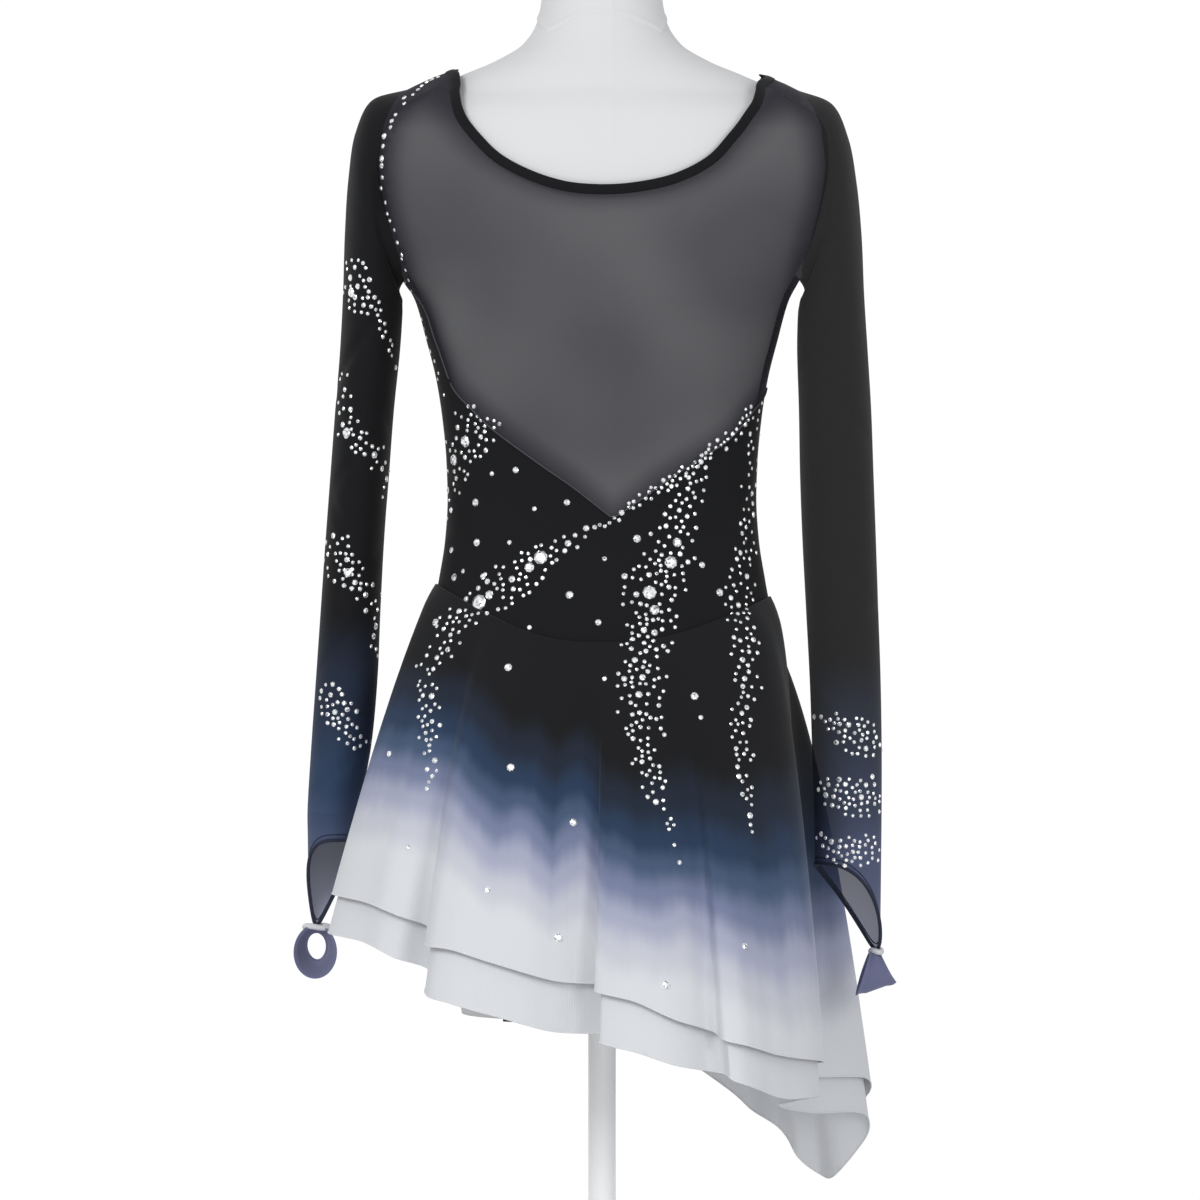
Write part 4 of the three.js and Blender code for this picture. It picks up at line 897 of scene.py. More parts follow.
# Brief: covers the form under the skirt down to its leg edges, with the gusset between them
LEG_LOW, LEG_HIGH, LEG_MIDDLE, LEG_HALF, LEG_SPREAD = 217, 312, -33, 18, 60
BRIEF_UNDER_SEAM, LEG_ELASTIC_RADIUS = 0.9, 1.4


def leg_z(turn):
    behind, ahead = [np.abs((turn - middle + 540) % 360 - 180) for middle in (LEG_MIDDLE, -180 - LEG_MIDDLE)]
    away = np.minimum(behind, ahead)
    s = np.clip((away - LEG_HALF) / LEG_SPREAD, 0, 1)
    return LEG_LOW + (LEG_HIGH - LEG_LOW) * s * s * (3 - 2 * s)


brief_turn, brief_down = np.meshgrid(np.arange(0, 360, 3.0), np.linspace(0, 1, 50))
brief_low = leg_z(brief_turn)
brief_high = waist_z(brief_turn) - BRIEF_UNDER_SEAM
brief_z = brief_high + (brief_low - brief_high) * brief_down
brief_grid = on_body(brief_turn, brief_z, np.full(brief_z.shape, SKIRT_CLOTH))
brief_uv = (brief_turn * ROUND_MM / 1000, brief_z / 1000)
brief = sheet_mesh("brief_cloth", brief_grid, closed=True, uv=brief_uv)
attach(brief, "root")
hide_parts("brief")
leg_elastic = cord_mesh("leg_elastic", brief_grid[-1], LEG_ELASTIC_RADIUS, sides=6)
# The gusset follows the lowest slice of the figure between two places across it
GUSSET_FROM_X, GUSSET_TO_X, GUSSET_EDGE_Z, GUSSET_Z = -78, -23, 216.4, 212.2
_, low_wide, low_back, low_front, _, low_boxy = BODY[0]
gusset_x = np.linspace(GUSSET_FROM_X, GUSSET_TO_X, 12)
gusset_reach = (1 - np.abs(gusset_x / low_wide) ** low_boxy) ** (1 / low_boxy)
gusset_edge = [GUSSET_EDGE_Z, FORM_BOTTOM]
gusset_rows = []
for x, reach in zip(gusset_x, gusset_reach):
    back, front = -low_back * reach - SKIRT_CLOTH, low_front * reach + SKIRT_CLOTH
    y = np.concatenate([[back, back], np.linspace(back + 2, front - 2, 20), [front, front]])
    z = np.concatenate([gusset_edge, np.full(20, GUSSET_Z), gusset_edge[::-1]])
    gusset_rows.append(np.stack([np.full(len(y), x), y, z], -1))
gusset = sheet_mesh("gusset_cloth", np.array(gusset_rows)[:, ::-1])
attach(gusset, "root")
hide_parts("brief_gusset")


# Seams: the turned edge along the V, and the ridge round the waist
V_EDGE_OUT, WAIST_SEAM_OUT, SEAM_RADIUS = 2.1, 2.7, 0.6
edge_line = resample(v_line, np.linspace(0, 1, 121))
edge_path = on_body(edge_line[:, 0], edge_line[:, 1], V_EDGE_OUT)
v_edge = cord_mesh("v_edge_seam", edge_path, SEAM_RADIUS, sides=6, closed=False)
waist_turns = np.arange(0, 360, 2.0)
waist_path = on_body(waist_turns, waist_z(waist_turns), WAIST_SEAM_OUT)
waist_seam = cord_mesh("waist_seam", waist_path, SEAM_RADIUS, sides=6)


# A node of a material or node group, with its settings
# Each socket is given with a plain value or with the output that feeds it.
def add_node(tree, kind, *sockets, **settings):
    node = tree.nodes.new(kind)
    for key, value in settings.items():
        setattr(node, key, value)
    for socket, value in sockets:
        if isinstance(value, bpy.types.NodeSocket):
            tree.links.new(value, node.inputs[socket])
        else:
            node.inputs[socket].default_value = value
    return node


# Cloth grain shared by the stretch cloths: a fine knit as a height value, from the piece's own UV
def cloth_grain():
    group = bpy.data.node_groups.new("cloth grain", "ShaderNodeTree")
    group.interface.new_socket("UV", in_out="INPUT", socket_type="NodeSocketVector")
    threads = group.interface.new_socket("Threads per metre", in_out="INPUT", socket_type="NodeSocketFloat")
    threads.default_value = 900
    group.interface.new_socket("Height", in_out="OUTPUT", socket_type="NodeSocketFloat")
    start = add_node(group, "NodeGroupInput").outputs
    by_threads = ("Scale", start["Threads per metre"])
    size = add_node(group, "ShaderNodeVectorMath", (0, start["UV"]), by_threads, operation="SCALE")
    size = size.outputs["Vector"]
    ribs = add_node(
        group, "ShaderNodeTexWave", ("Scale", 0.3), ("Distortion", 0.6), ("Vector", size), bands_direction="X"
    )
    rows = add_node(
        group, "ShaderNodeTexWave", ("Scale", 0.4), ("Distortion", 0.8), ("Vector", size), bands_direction="Y"
    )
    specks = add_node(group, "ShaderNodeTexNoise", ("Scale", 0.5), ("Vector", size))
    rib, row = ribs.outputs["Fac"], rows.outputs["Fac"]
    both = add_node(group, "ShaderNodeMath", (0, row), (1, 0.6), (2, rib), operation="MULTIPLY_ADD")
    all_three = add_node(
        group, "ShaderNodeMath", (0, specks.outputs["Fac"]), (1, 0.5), (2, both.outputs["Value"]),
        operation="MULTIPLY_ADD",
    )
    add_node(group, "NodeGroupOutput", ("Height", all_three.outputs["Value"]))
    return group


grain = cloth_grain()


def cloth_material(name, colour, alpha=1.0, roughness=0.85, sheen=0.05, bump=0.15, threads=900):
    """A knitted cloth, with the shared grain as bump."""
    material = bpy.data.materials.new(name)
    material.use_nodes = True
    tree = material.node_tree
    shader = tree.nodes["Principled BSDF"]
    shader.inputs["Base Color"].default_value = (*colour, 1)
    shader.inputs["Roughness"].default_value = roughness
    shader.inputs["Alpha"].default_value = alpha
    shader.inputs["Specular IOR Level"].default_value = 0.18
    shader.inputs["Sheen Weight"].default_value = sheen
    shader.inputs["Sheen Roughness"].default_value = 0.5
    uv = add_node(tree, "ShaderNodeUVMap", uv_map="cloth")
    knit = add_node(tree, "ShaderNodeGroup", node_tree=grain)
    knit.inputs["Threads per metre"].default_value = threads
    tree.links.new(uv.outputs["UV"], knit.inputs["UV"])
    relief = add_node(
        tree, "ShaderNodeBump", ("Strength", bump), ("Distance", 0.0004), ("Height", knit.outputs["Height"])
    )
    tree.links.new(relief.outputs["Normal"], shader.inputs["Normal"])
    return material


def cover_with(material, *pieces):
    for piece in pieces:
        piece.data.materials.append(material)


def dye(material, attribute, stops, wobble=0.02, runs=(9, 9, 9)):
    """Colours the cloth by one of its own values, with an uneven edge that runs down the cloth."""
    tree = material.node_tree
    value = add_node(tree, "ShaderNodeAttribute", attribute_name=attribute)
    place = add_node(tree, "ShaderNodeTexCoord")
    stretched = add_node(tree, "ShaderNodeMapping", ("Scale", runs), ("Vector", place.outputs["Object"]))
    cloud = add_node(
        tree, "ShaderNodeTexNoise", ("Scale", 1), ("Detail", 3), ("Vector", stretched.outputs["Vector"])
    )
    centred = add_node(tree, "ShaderNodeMath", (0, cloud.outputs["Fac"]), (1, 0.5), operation="SUBTRACT")
    moved = add_node(
        tree, "ShaderNodeMath", (0, centred.outputs["Value"]), (1, wobble), (2, value.outputs["Fac"]),
        operation="MULTIPLY_ADD",
    )
    ramp = add_node(tree, "ShaderNodeValToRGB", ("Fac", moved.outputs["Value"]))
    ramp.color_ramp.interpolation = "EASE"
    points = ramp.color_ramp.elements
    points[0].position, points[0].color = stops[0][0], (*stops[0][1], 1)
    points[1].position, points[1].color = stops[-1][0], (*stops[-1][1], 1)
    for at, colour in stops[1:-1]:
        points.new(at).color = (*colour, 1)
    tree.links.new(ramp.outputs["Color"], tree.nodes["Principled BSDF"].inputs["Base Color"])


# Colours of the form and its stand
cover_with(cloth_material("form cover", (0.72, 0.72, 0.72), bump=0.1, threads=700, sheen=0.0), form)
stand_paint = bpy.data.materials.new("stand paint")
stand_paint.use_nodes = True
stand_shader = stand_paint.node_tree.nodes["Principled BSDF"]
stand_shader.inputs["Base Color"].default_value = (0.94, 0.94, 0.94, 1)
stand_shader.inputs["Roughness"].default_value = 0.45
for node in ("form_pole", "form_base"):
    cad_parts[node].data.materials.clear()
    cover_with(stand_paint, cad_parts[node])

# Black cloths: opaque stretch jersey, sheer power mesh and the folded binding
BLACK = (0.0065, 0.0065, 0.0075)
cover_with(
    cloth_material("black stretch", BLACK), back_bodice, front_bodice, brief, gusset, binding, leg_elastic
)

# Power mesh: seen through more in the middle than near its edges, partly as its seams are thicker and partly
# as painted shade where the figure turns away at the sides and along the V, and cloudy as stretched mesh is
# It is thicker again at the tops of the shoulders, where nothing pale lies behind it.
MESH_THIN, MESH_EDGE_THICK_AND_SHADE, MESH_REACH, MESH_CLOUDY, MESH_SHOULDER = 0.62, 0.77, 24, 0.07, 0.22
black_mesh = cloth_material("black power mesh", (0.018, 0.017, 0.026), roughness=0.9)
tree = black_mesh.node_tree
from_edge = add_node(tree, "ShaderNodeAttribute", attribute_name="edge")
# Painted shade with thicker seams: the mesh is made less see-through near each panel's edges.
edge_thickness_and_shade = add_node(
    tree, "ShaderNodeMapRange", ("Value", from_edge.outputs["Fac"]), ("From Max", MESH_REACH),
    ("To Min", MESH_EDGE_THICK_AND_SHADE), ("To Max", MESH_THIN), interpolation_type="SMOOTHSTEP",
)
place = add_node(tree, "ShaderNodeTexCoord").outputs["Object"]
cloud = add_node(tree, "ShaderNodeTexNoise", ("Scale", 7), ("Detail", 1), ("Vector", place))
spread = add_node(
    tree, "ShaderNodeMapRange", ("From Min", 0.3), ("From Max", 0.7), ("To Min", -MESH_CLOUDY),
    ("To Max", MESH_CLOUDY), ("Value", cloud.outputs["Fac"]),
)
axes = add_node(tree, "ShaderNodeSeparateXYZ", ("Vector", place))
shoulder = add_node(
    tree, "ShaderNodeMapRange", ("From Min", 0.915), ("From Max", 0.955), ("To Max", MESH_SHOULDER),
    ("Value", axes.outputs["Z"]),
)
thicker = add_node(tree, "ShaderNodeMath", (0, spread.outputs["Result"]), (1, shoulder.outputs["Result"]))
total = add_node(
    tree, "ShaderNodeMath", (0, edge_thickness_and_shade.outputs["Result"]), (1, thicker.outputs["Value"]), use_clamp=True
)
tree.links.new(total.outputs["Value"], tree.nodes["Principled BSDF"].inputs["Alpha"])
cover_with(black_mesh, back_mesh, front_yoke)

# Sleeves: dyed by height, the left one nearly opaque, the right one sheer
sleeve_cloth = cloth_material("left sleeve cloth", BLACK, alpha=0.985)
dye(sleeve_cloth, "height", [
    (0.25, (0.19, 0.21, 0.42)), (0.31, (0.13, 0.15, 0.27)), (0.345, (0.07, 0.10, 0.19)),
    (0.40, (0.03, 0.055, 0.11)), (0.47, (0.017, 0.026, 0.05)), (0.54, BLACK),
])
cover_with(sleeve_cloth, sleeve_left)
cover_cloth = cloth_material("left hand cover cloth", BLACK, alpha=0.94)
dye(cover_cloth, "height", [
    (0.28, (0.25, 0.25, 0.34)), (0.31, (0.17, 0.18, 0.27)), (0.345, (0.075, 0.10, 0.19)),
    (0.374, (0.045, 0.071, 0.14)),
])
cover_with(cover_cloth, cover_left)
sheer_sleeve = cloth_material("right sleeve mesh", BLACK, alpha=0.88, roughness=0.9)
dye(sheer_sleeve, "height", [
    (0.22, (0.24, 0.26, 0.45)), (0.28, (0.15, 0.16, 0.28)), (0.33, (0.08, 0.10, 0.19)),
    (0.38, (0.035, 0.05, 0.095)), (0.44, (0.018, 0.025, 0.045)), (0.50, BLACK),
])
cover_with(sheer_sleeve, sleeve_right, cover_right)
cover_with(cloth_material("finger loop cloth", (0.17, 0.18, 0.30), sheen=0.2), loop_left, loop_right)
cover_with(
    cloth_material("dark edge cloth", (0.03, 0.035, 0.06)),
    cuff_edge_left, cuff_edge_right, hem_line_left, hem_line_right,
)
cover_with(cloth_material("seam edge cloth", (0.07, 0.072, 0.08)), v_edge, waist_seam)

# Skirt layers: soft mesh dyed from black at the seam through navy and lavender to near white
skirt_cloth = cloth_material("ombre skirt cloth", BLACK, roughness=0.8, sheen=0.1, threads=600)
dye(skirt_cloth, "dye", [
    (0.19, BLACK), (0.30, (0.013, 0.020, 0.036)), (0.40, (0.021, 0.042, 0.088)),
    (0.47, (0.06, 0.095, 0.17)), (0.55, (0.18, 0.21, 0.33)), (0.635, (0.38, 0.40, 0.52)),
    (0.73, (0.57, 0.58, 0.64)), (0.82, (0.69, 0.70, 0.72)),
], wobble=0.13, runs=(30, 30, 2.2))
cover_with(skirt_cloth, skirt_upper, skirt_under)
cover_with(cloth_material("rolled hem cloth", (0.74, 0.74, 0.76)), hem_upper, hem_under, tie_left, tie_right)


# Rhinestones: flat-backed faceted domes glued on in bands
# Each is placed where the line of sight from the camera meets the cloth, from tables in mm.
EYE_BACK = np.array([-1.6, -4000, 544])
EYE_FRONT = np.array([0, 4000, 544])


def cloth_tree(*pieces):
    points, faces = [], []
    for piece in pieces:
        start = len(points)
        points += [vertex.co * 1000 for vertex in piece.data.vertices]
        faces += [[start + k for k in polygon.vertices] for polygon in piece.data.polygons]
    return BVHTree.FromPolygons(points, faces)


# How stones lie in a band: tries for each, spread and limit across it as shares of its width,
# how rare the large ones are, and how much smaller they get towards its edges
TRIES, BAND_SPREAD, BAND_LIMIT, LARGE_RARE, EDGE_SMALLER = 14, 0.27, 0.62, 3.2, 0.7


def scatter_band(rows, count, random, small, large, spacing):
    """Stones along a band: rows of x, z and width; returns rows of x, z and diameter."""
    rows = np.asarray(rows, float)
    line = curve(rows, 12)
    steps = np.linalg.norm(np.diff(line[:, :2], axis=0), axis=1)
    along = np.concatenate([[0], np.cumsum(steps)])
    weight = np.concatenate([[0], np.cumsum(steps * (line[1:, 2] + line[:-1, 2]) / 2)])
    kept = []
    for _ in range(count * TRIES):
        if len(kept) >= count:
            break
        at = np.interp(random.random() * weight[-1], weight, along)
        x, z, wide = [np.interp(at, along, line[:, k]) for k in range(3)]
        ahead = [np.subtract(*np.interp((at + 3, at - 3), along, line[:, k])) for k in (0, 1)]
        length = max(math.hypot(*ahead), 1e-6)
        off = np.clip(random.normal(0, BAND_SPREAD), -BAND_LIMIT, BAND_LIMIT) * wide
        pick = random.random()
        size = small + (large - small) * (pick ** LARGE_RARE) * (1 - EDGE_SMALLER * abs(off) / max(wide, 1))
        px, pz = x - ahead[1] / length * off, z + ahead[0] / length * off
        if all(math.hypot(px - q[0], pz - q[1]) > spacing * (size + q[2]) / 2 for q in kept):
            kept.append((px, pz, size))
    return kept


# Bands of the lower bodice and skirt, as seen from behind: x, z and width in mm
BAND_TIP_TO_LEFT = [
    (8, 606, 5), (-10, 602, 8), (-34, 584, 16), (-49, 578, 24),
    (-66, 564, 26), (-78, 556, 26), (-98, 542, 24),
    (-110, 534, 22), (-120, 524, 18), (-124, 512, 17), (-131, 502, 17), (-138, 492, 16), (-139, 472, 15),
    (-138, 448, 14), (-139, 428, 12), (-136, 408, 10), (-142, 392, 5),
]
BAND_MIDDLE = [
    (81, 654, 16), (72, 632, 20), (64, 612, 24), (56, 596, 28), (53, 574, 34), (46, 560, 36), (40, 550, 36),
    (38, 528, 34), (35, 504, 32), (32, 480, 31), (31, 456, 30), (34, 432, 26), (38, 412, 20), (43, 392, 14),
    (48, 380, 10), (54, 359, 7), (58, 347, 3),
]
BAND_RIGHT = [
    (127, 704, 4), (122, 680, 8), (119, 648, 10), (118, 624, 14),
    (117, 600, 18), (114, 576, 20), (111, 552, 20),
    (112, 528, 20), (114, 504, 19), (117, 480, 18), (114, 456, 16),
    (112, 432, 15), (113, 412, 13), (115, 384, 10),
    (118, 372, 7), (120, 358, 3),
]
BAND_LEFT = [
    (-94, 694, 24), (-101, 684, 30), (-109, 671, 28), (-115, 658, 22),
    (-120, 640, 16), (-123, 624, 11), (-124, 606, 6),
]
ROW_ON_V = [
    (10, 609, 4), (21, 616, 8), (40, 630, 9), (58, 641, 9),
    (76, 654, 9), (87, 663, 8), (98, 670, 9), (110, 680, 9),
    (118, 695, 6), (125, 703, 4),
]
ROW_DOWN_SIDE = [(-150, 784, 3), (-142, 760, 3), (-132, 728, 3), (-126, 708, 3)]
# Single stones down the left armhole: x, z and diameter
ROW_ON_ARMHOLE = [
    (-131, 962, 3.4), (-136, 960, 4), (-140, 958, 4), (-144, 955, 3.6), (-147, 952, 3.6), (-151, 948, 3.2),
    (-158, 945.5, 4.2), (-158, 941, 3.6), (-165, 932, 3.6),
    (-168, 927, 4.4), (-169, 922, 3.6), (-174, 915, 5.4),
    (-175, 907, 4.2), (-176, 897, 5.6), (-176, 891.5, 4.8),
    (-175.5, 882, 3.8), (-176.5, 873.5, 3.6), (-173, 862, 3.4),
    (-171.5, 853, 3.4), (-169.5, 847.5, 3.4), (-166, 840, 3),
    (-163.5, 830, 3.6), (-160, 820, 3.2), (-160, 817, 3),
    (-157, 808, 3), (-154.5, 800, 3), (-152, 791, 3),
]
SINGLE_STONES = [
    (-88, 645), (-69, 648), (-101, 622), (-54, 617), (-28, 622),
    (-100, 590), (-74, 590), (-120, 584), (-118, 562),
    (-111, 567), (-95, 563), (28, 593), (2, 577), (18, 563),
    (-26, 548), (-58, 522), (-3, 526), (-133, 526), (2, 481),
    (80, 572), (94, 550), (79, 450), (-170, 421), (-73, 410),
    (-155, 346), (-92, 312), (-35, 274), (62, 334),
    (114, 267), (51, 236),
]
BIG_STONES = [
    (-49, 578, 11.2), (-98, 542, 12.8), (55, 574, 10.4),
    (38, 550, 11.2), (-109, 671, 9.6), (-118, 656, 8.8),
    (-75, 490, 6.4), (-23, 366, 6.4), (74, 467, 6.4), (-58, 570, 8),
    (42, 536, 8), (-90, 548, 7.5), (60, 590, 7.5),
]
SLEEVE_BIG_LEFT = [(-204, 678, 8), (-200, 790, 8), (-203, 566, 7.2)]
# Bands of the sleeves: count of stones, then x, z and width
BANDS_LEFT_SLEEVE = [
    (47, [(-207, 814, 26), (-200, 796, 24), (-189, 782, 18), (-179, 771, 8)]),
    (10, [(-179, 771, 6), (-171, 752, 5), (-164, 728, 3)]),
    (44, [
        (-210, 726, 10), (-208, 704, 14), (-202, 682, 20), (-192, 669, 20), (-181, 659, 16), (-175, 642, 7),
        (-175, 626, 4),
    ]),
    (50, [
        (-216, 598, 16), (-211, 584, 20), (-203, 562, 22), (-192, 552, 20), (-184, 539, 14), (-182, 516, 8),
        (-180, 496, 4),
    ]),
    (40, [(-222, 477, 12), (-217, 466, 18), (-208, 450, 20), (-198, 436, 18), (-189, 426, 10)]),
]
BANDS_RIGHT_SLEEVE = [
    (53, [(170, 450, 6), (182, 448, 10), (198, 438, 22), (211, 435, 26), (221, 440, 22)]),
    (60, [(172, 396, 10), (180, 392, 16), (194, 387, 22), (210, 387, 26), (221, 391, 24)]),
    (45, [(174, 356, 6), (180, 348, 12), (190, 342, 16), (206, 344, 20), (220, 349, 20)]),
]
# Plain bands of the hidden front, as seen from the front with x still towards the wearer's right
BANDS_FRONT = [
    (70, [(-118, 690, 10), (-104, 650, 18), (-84, 604, 22), (-72, 560, 20), (-80, 510, 14), (-84, 470, 6)]),
    (80, [(112, 700, 10), (96, 660, 20), (70, 600, 26), (52, 548, 22), (60, 492, 16), (66, 440, 6)]),
]


def stone_points(name, tree, eye, stones):
    """A mesh of single points on the cloth, each with the cloth's normal and the stone's radius."""
    places, normals, sizes = [], [], []
    for x, z, across in stones:
        start = Vector(eye)
        toward = (Vector((x, 0, z)) - start).normalized()
        place, normal, _, _ = tree.ray_cast(start, toward)
        if place is None:
            continue
        if normal.dot(toward) > 0:
            normal = -normal
        places.append(((place + normal * 0.15) / 1000)[:])
        normals.append(normal[:])
        sizes.append(across / 2000)
    mesh = bpy.data.meshes.new(name)
    mesh.from_pydata(places, [], [])
    facing = mesh.attributes.new("facing", "FLOAT_VECTOR", "POINT")
    facing.data.foreach_set("vector", np.array(normals).reshape(-1))
    mesh.attributes.new("radius", "FLOAT", "POINT").data.foreach_set("value", np.array(sizes))
    made = bpy.data.objects.new(name, mesh)
    bpy.context.scene.collection.objects.link(made)
    return made


# One stone of unit radius: a foot, a girdle, a ring of facets and a flat table
# Each ring: how far it is turned, in steps, its radius and its height.
GEM_SIDES = 8
GEM_RINGS = [(0, 1, 0), (0, 1, 0.14), (0.5, 0.74, 0.42), (0, 0.42, 0.58)]
gem_mesh = bpy.data.meshes.new("gem")
gem_points = []
for shift, radius, height in GEM_RINGS:
    for k in range(GEM_SIDES):
        turn = (k + shift) / GEM_SIDES * 2 * math.pi
        gem_points.append((radius * math.cos(turn), radius * math.sin(turn), height))
foot, girdle, crown, table = [ring * GEM_SIDES for ring in range(len(GEM_RINGS))]
gem_faces = []
for k in range(GEM_SIDES):
    n = (k + 1) % GEM_SIDES
    gem_faces.append((foot + k, foot + n, girdle + n, girdle + k))
    gem_faces.append((girdle + k, girdle + n, crown + k))
    gem_faces.append((crown + k, girdle + n, crown + n))
    gem_faces.append((crown + k, crown + n, table + n))
    gem_faces.append((table + k, crown + k, table + n))
gem_faces.append(tuple(table + k for k in range(GEM_SIDES)))
gem_mesh.from_pydata(gem_points, [], gem_faces)
gem = bpy.data.objects.new("gem", gem_mesh)
bpy.context.scene.collection.objects.link(gem)

# Their material: foil-backed glass with a painted glint, noise over each facet's normal and place giving it a
# light or dark colour in place of the part of the room it would throw back, and that colour also glowing a
# little
gem_material = bpy.data.materials.new("rhinestone")
gem_material.use_nodes = True
tree = gem_material.node_tree
facet = add_node(tree, "ShaderNodeNewGeometry").outputs["True Normal"]
place = add_node(tree, "ShaderNodeTexCoord").outputs["Object"]
coarse = add_node(tree, "ShaderNodeVectorMath", (0, place), ("Scale", 90), operation="SCALE")
steep = add_node(tree, "ShaderNodeVectorMath", (0, facet), ("Scale", 3.1), operation="SCALE")
both = add_node(tree, "ShaderNodeVectorMath", (0, coarse.outputs[0]), (1, steep.outputs[0]), operation="ADD")
# Painted glint: noise over each facet's normal and place picks a light or dark colour.
painted_glint = add_node(tree, "ShaderNodeTexNoise", ("Scale", 2.4), ("Detail", 1), ("Vector", both.outputs[0]))
glint_tones = add_node(tree, "ShaderNodeValToRGB", ("Fac", painted_glint.outputs["Fac"]))
dark_tone, light_tone = glint_tones.color_ramp.elements
dark_tone.position, dark_tone.color = 0.34, (0.16, 0.17, 0.18, 1)
light_tone.position, light_tone.color = 0.50, (1, 1, 1, 1)
shader = tree.nodes["Principled BSDF"]
# A painted glow: the glint colour is also given off as light.
for socket, value in (("Metallic", 1), ("Roughness", 0.12), ("Emission Strength", 0.3)):
    shader.inputs[socket].default_value = value
for socket in ("Base Color", "Emission Color"):
    tree.links.new(glint_tones.outputs["Color"], shader.inputs[socket])

# The instancer: puts the gem on each point, turned to the cloth and scaled by its radius
setter = bpy.data.node_groups.new("set stones", "GeometryNodeTree")
setter.interface.new_socket("Geometry", in_out="INPUT", socket_type="NodeSocketGeometry")
gem_socket = setter.interface.new_socket("Gem", in_out="INPUT", socket_type="NodeSocketObject")
seed_socket = setter.interface.new_socket("Seed", in_out="INPUT", socket_type="NodeSocketInt")
setter.interface.new_socket("Geometry", in_out="OUTPUT", socket_type="NodeSocketGeometry")
given = add_node(setter, "NodeGroupInput").outputs
info = add_node(setter, "GeometryNodeObjectInfo", ("Object", given["Gem"]))
facing = add_node(setter, "GeometryNodeInputNamedAttribute", ("Name", "facing"), data_type="FLOAT_VECTOR")
radius = add_node(setter, "GeometryNodeInputNamedAttribute", ("Name", "radius"), data_type="FLOAT")
spin = add_node(setter, "FunctionNodeRandomValue", ("Seed", given["Seed"]), data_type="FLOAT")
spin.inputs["Max"].default_value = 6.28
spin_axis = add_node(setter, "ShaderNodeCombineXYZ", ("Z", spin.outputs[1]))
align = add_node(
    setter, "FunctionNodeAlignRotationToVector", ("Rotation", spin_axis.outputs["Vector"]),
    ("Vector", facing.outputs["Attribute"]), axis="Z",
)
instance = add_node(
    setter, "GeometryNodeInstanceOnPoints", ("Points", given["Geometry"]),
    ("Instance", info.outputs["Geometry"]), ("Rotation", align.outputs["Rotation"]),
    ("Scale", radius.outputs["Attribute"]),
)
realize = add_node(setter, "GeometryNodeRealizeInstances", ("Geometry", instance.outputs["Instances"]))
paint = add_node(
    setter, "GeometryNodeSetMaterial", ("Geometry", realize.outputs["Geometry"]), ("Material", gem_material)
)
add_node(setter, "NodeGroupOutput", ("Geometry", paint.outputs["Geometry"]))


def set_stones(name, tree, eye, stones, seed):
    points = stone_points(name + "_points", tree, eye, stones)
    modifier = points.modifiers.new("set stones", "NODES")
    modifier.node_group = setter
    modifier[gem_socket.identifier] = gem
    modifier[seed_socket.identifier] = seed
    points.update_tag()
    bpy.context.view_layer.update()
    ready = points.evaluated_get(bpy.context.evaluated_depsgraph_get())
    mesh = bpy.data.meshes.new_from_object(ready)
    mesh.name = name
    made = bpy.data.objects.new(name, mesh)
    bpy.context.scene.collection.objects.link(made)
    bpy.data.objects.remove(points)
    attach(made, "root")
    return made


def clear_of_big(stone):
    x, z, across = stone
    return all(math.hypot(x - big_x, z - big_z) > (across + big) / 2 for big_x, big_z, big in BIG_STONES)


random = np.random.default_rng(11)
body_stones = list(BIG_STONES)
for rows, count, small, large, spacing in (
    (BAND_TIP_TO_LEFT, 145, 3, 6, 1.25),
    (BAND_MIDDLE, 215, 3, 6, 1.25),
    (BAND_RIGHT, 140, 2.8, 5.4, 1.25),
    (BAND_LEFT, 66, 3, 6.6, 1.2),
    (ROW_ON_V, 60, 3, 5.4, 1.1),
    (ROW_DOWN_SIDE, 11, 2.8, 3.8, 1.6),
):
    placed = scatter_band(rows, count, random, small, large, spacing)
    body_stones += filter(clear_of_big, placed)
body_stones += ROW_ON_ARMHOLE
for k, (x, z) in enumerate(SINGLE_STONES):
    body_stones.append((x, z, 4 + 1.2 * (k % 3)))
body_tree = cloth_tree(back_mesh, back_bodice, front_bodice, skirt_upper, sleeve_left)
stones_back = set_stones("stones_back", body_tree, EYE_BACK, body_stones, 3)

left_stones = list(SLEEVE_BIG_LEFT)
for count, rows in BANDS_LEFT_SLEEVE:
    left_stones += scatter_band(rows, count, random, 3, 6, 1.25)
left_tree = cloth_tree(sleeve_left, cover_left)
stones_left = set_stones("stones_left_sleeve", left_tree, EYE_BACK, left_stones, 5)
right_stones = []
for count, rows in BANDS_RIGHT_SLEEVE:
    right_stones += scatter_band(rows, count, random, 3, 5.6, 1.25)
right_tree = cloth_tree(sleeve_right, cover_right)
stones_right = set_stones("stones_right_sleeve", right_tree, EYE_BACK, right_stones, 7)
front_stones = []
for count, rows in BANDS_FRONT:
    front_stones += scatter_band(rows, count, random, 2.6, 7, 1.1)
stones_front = set_stones("stones_front", cloth_tree(front_bodice, skirt_upper), EYE_FRONT, front_stones, 9)
bpy.data.objects.remove(gem)


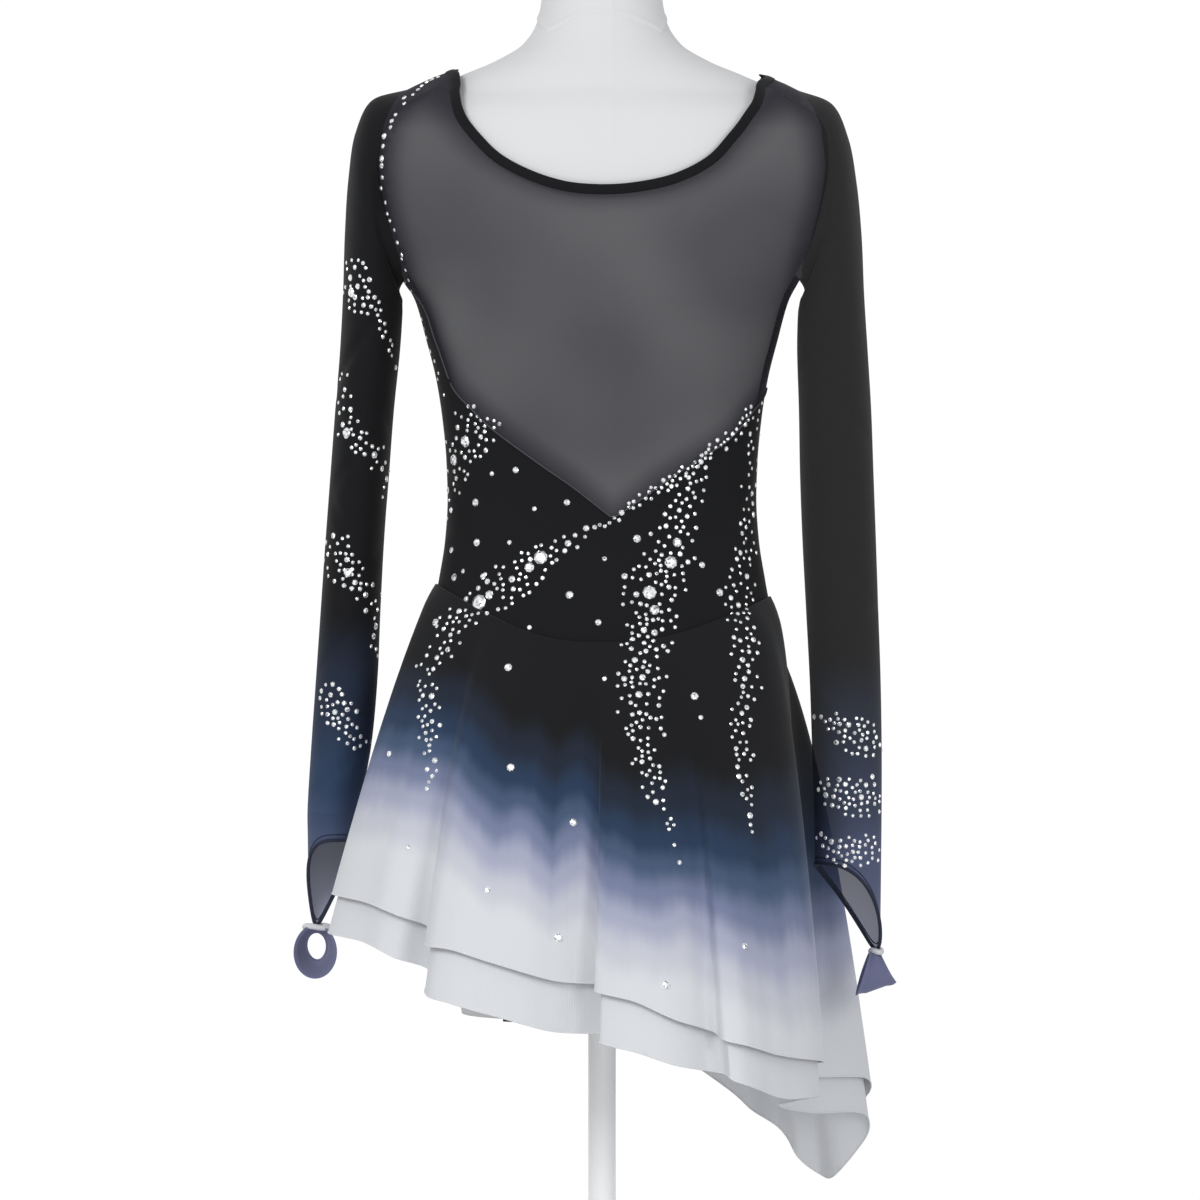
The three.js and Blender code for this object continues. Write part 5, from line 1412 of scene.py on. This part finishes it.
# White surroundings, outside the part: a lit board behind, which only throws light on the cloth,
# and a wide dome all round, which only the camera sees
lit_board = bpy.data.materials.new("lit board")
lit_board.use_nodes = True
board_nodes = lit_board.node_tree.nodes
board_nodes.remove(board_nodes["Principled BSDF"])
glow = board_nodes.new("ShaderNodeEmission")
glow.inputs["Color"].default_value = (1, 1, 1, 1)
glow.inputs["Strength"].default_value = 1.02
lit_board.node_tree.links.new(glow.outputs["Emission"], board_nodes["Material Output"].inputs["Surface"])
board_mesh = bpy.data.meshes.new("white_board")
board_mesh.from_pydata([(-4, 2.2, -2), (4, 2.2, -2), (4, 2.2, 3), (-4, 2.2, 3)], [], [(0, 1, 2, 3)])
board = bpy.data.objects.new("white_board", board_mesh)
bpy.context.scene.collection.objects.link(board)
board.visible_camera = False
bpy.ops.mesh.primitive_ico_sphere_add(subdivisions=4, radius=9)
dome = bpy.context.object
dome.name = "white_dome"
dome.visible_diffuse = dome.visible_glossy = dome.visible_transmission = False
dome.visible_volume_scatter = dome.visible_shadow = False
for surround in (board, dome):
    surround.data.materials.append(lit_board)
world = bpy.data.worlds.new("room")
bpy.context.scene.world = world
world.use_nodes = True
world.node_tree.nodes["Background"].inputs["Color"].default_value = (0.95, 0.97, 1, 1)
world.node_tree.nodes["Background"].inputs["Strength"].default_value = 0.55

# Lights: name, place in metres, width and height in metres, watts
LIGHTS = [
    ("key", (-1.6, -2.6, 2.3), 1.2, 1.2, 42),
    ("fill", (1.9, -2.8, 1.2), 1.0, 1.6, 20),
    ("low", (0.2, -2.6, -0.4), 1.6, 0.8, 9),
]
for light_name, place, wide, tall, watts in LIGHTS:
    light = bpy.data.lights.new(light_name, "AREA")
    light.shape = "RECTANGLE"
    light.size = wide
    light.size_y = tall
    light.energy = watts
    lamp = bpy.data.objects.new(light_name, light)
    lamp.location = place
    lamp.rotation_euler = (Vector((0, 0, 0.55)) - Vector(place)).to_track_quat("-Z", "Y").to_euler()
    bpy.context.scene.collection.objects.link(lamp)


# Camera: straight on to the back from four metres, 960 mm across at the form
camera = bpy.data.objects.new("camera", bpy.data.cameras.new("camera"))
camera.data.lens = 150
camera.data.sensor_width = 36
camera.data.clip_end = 20
camera.location = (-0.0016, -4, 0.544)
camera.rotation_euler = (math.radians(90), 0, 0)
bpy.context.scene.collection.objects.link(camera)
bpy.context.scene.camera = camera
bpy.context.scene.view_settings.view_transform = "Standard"
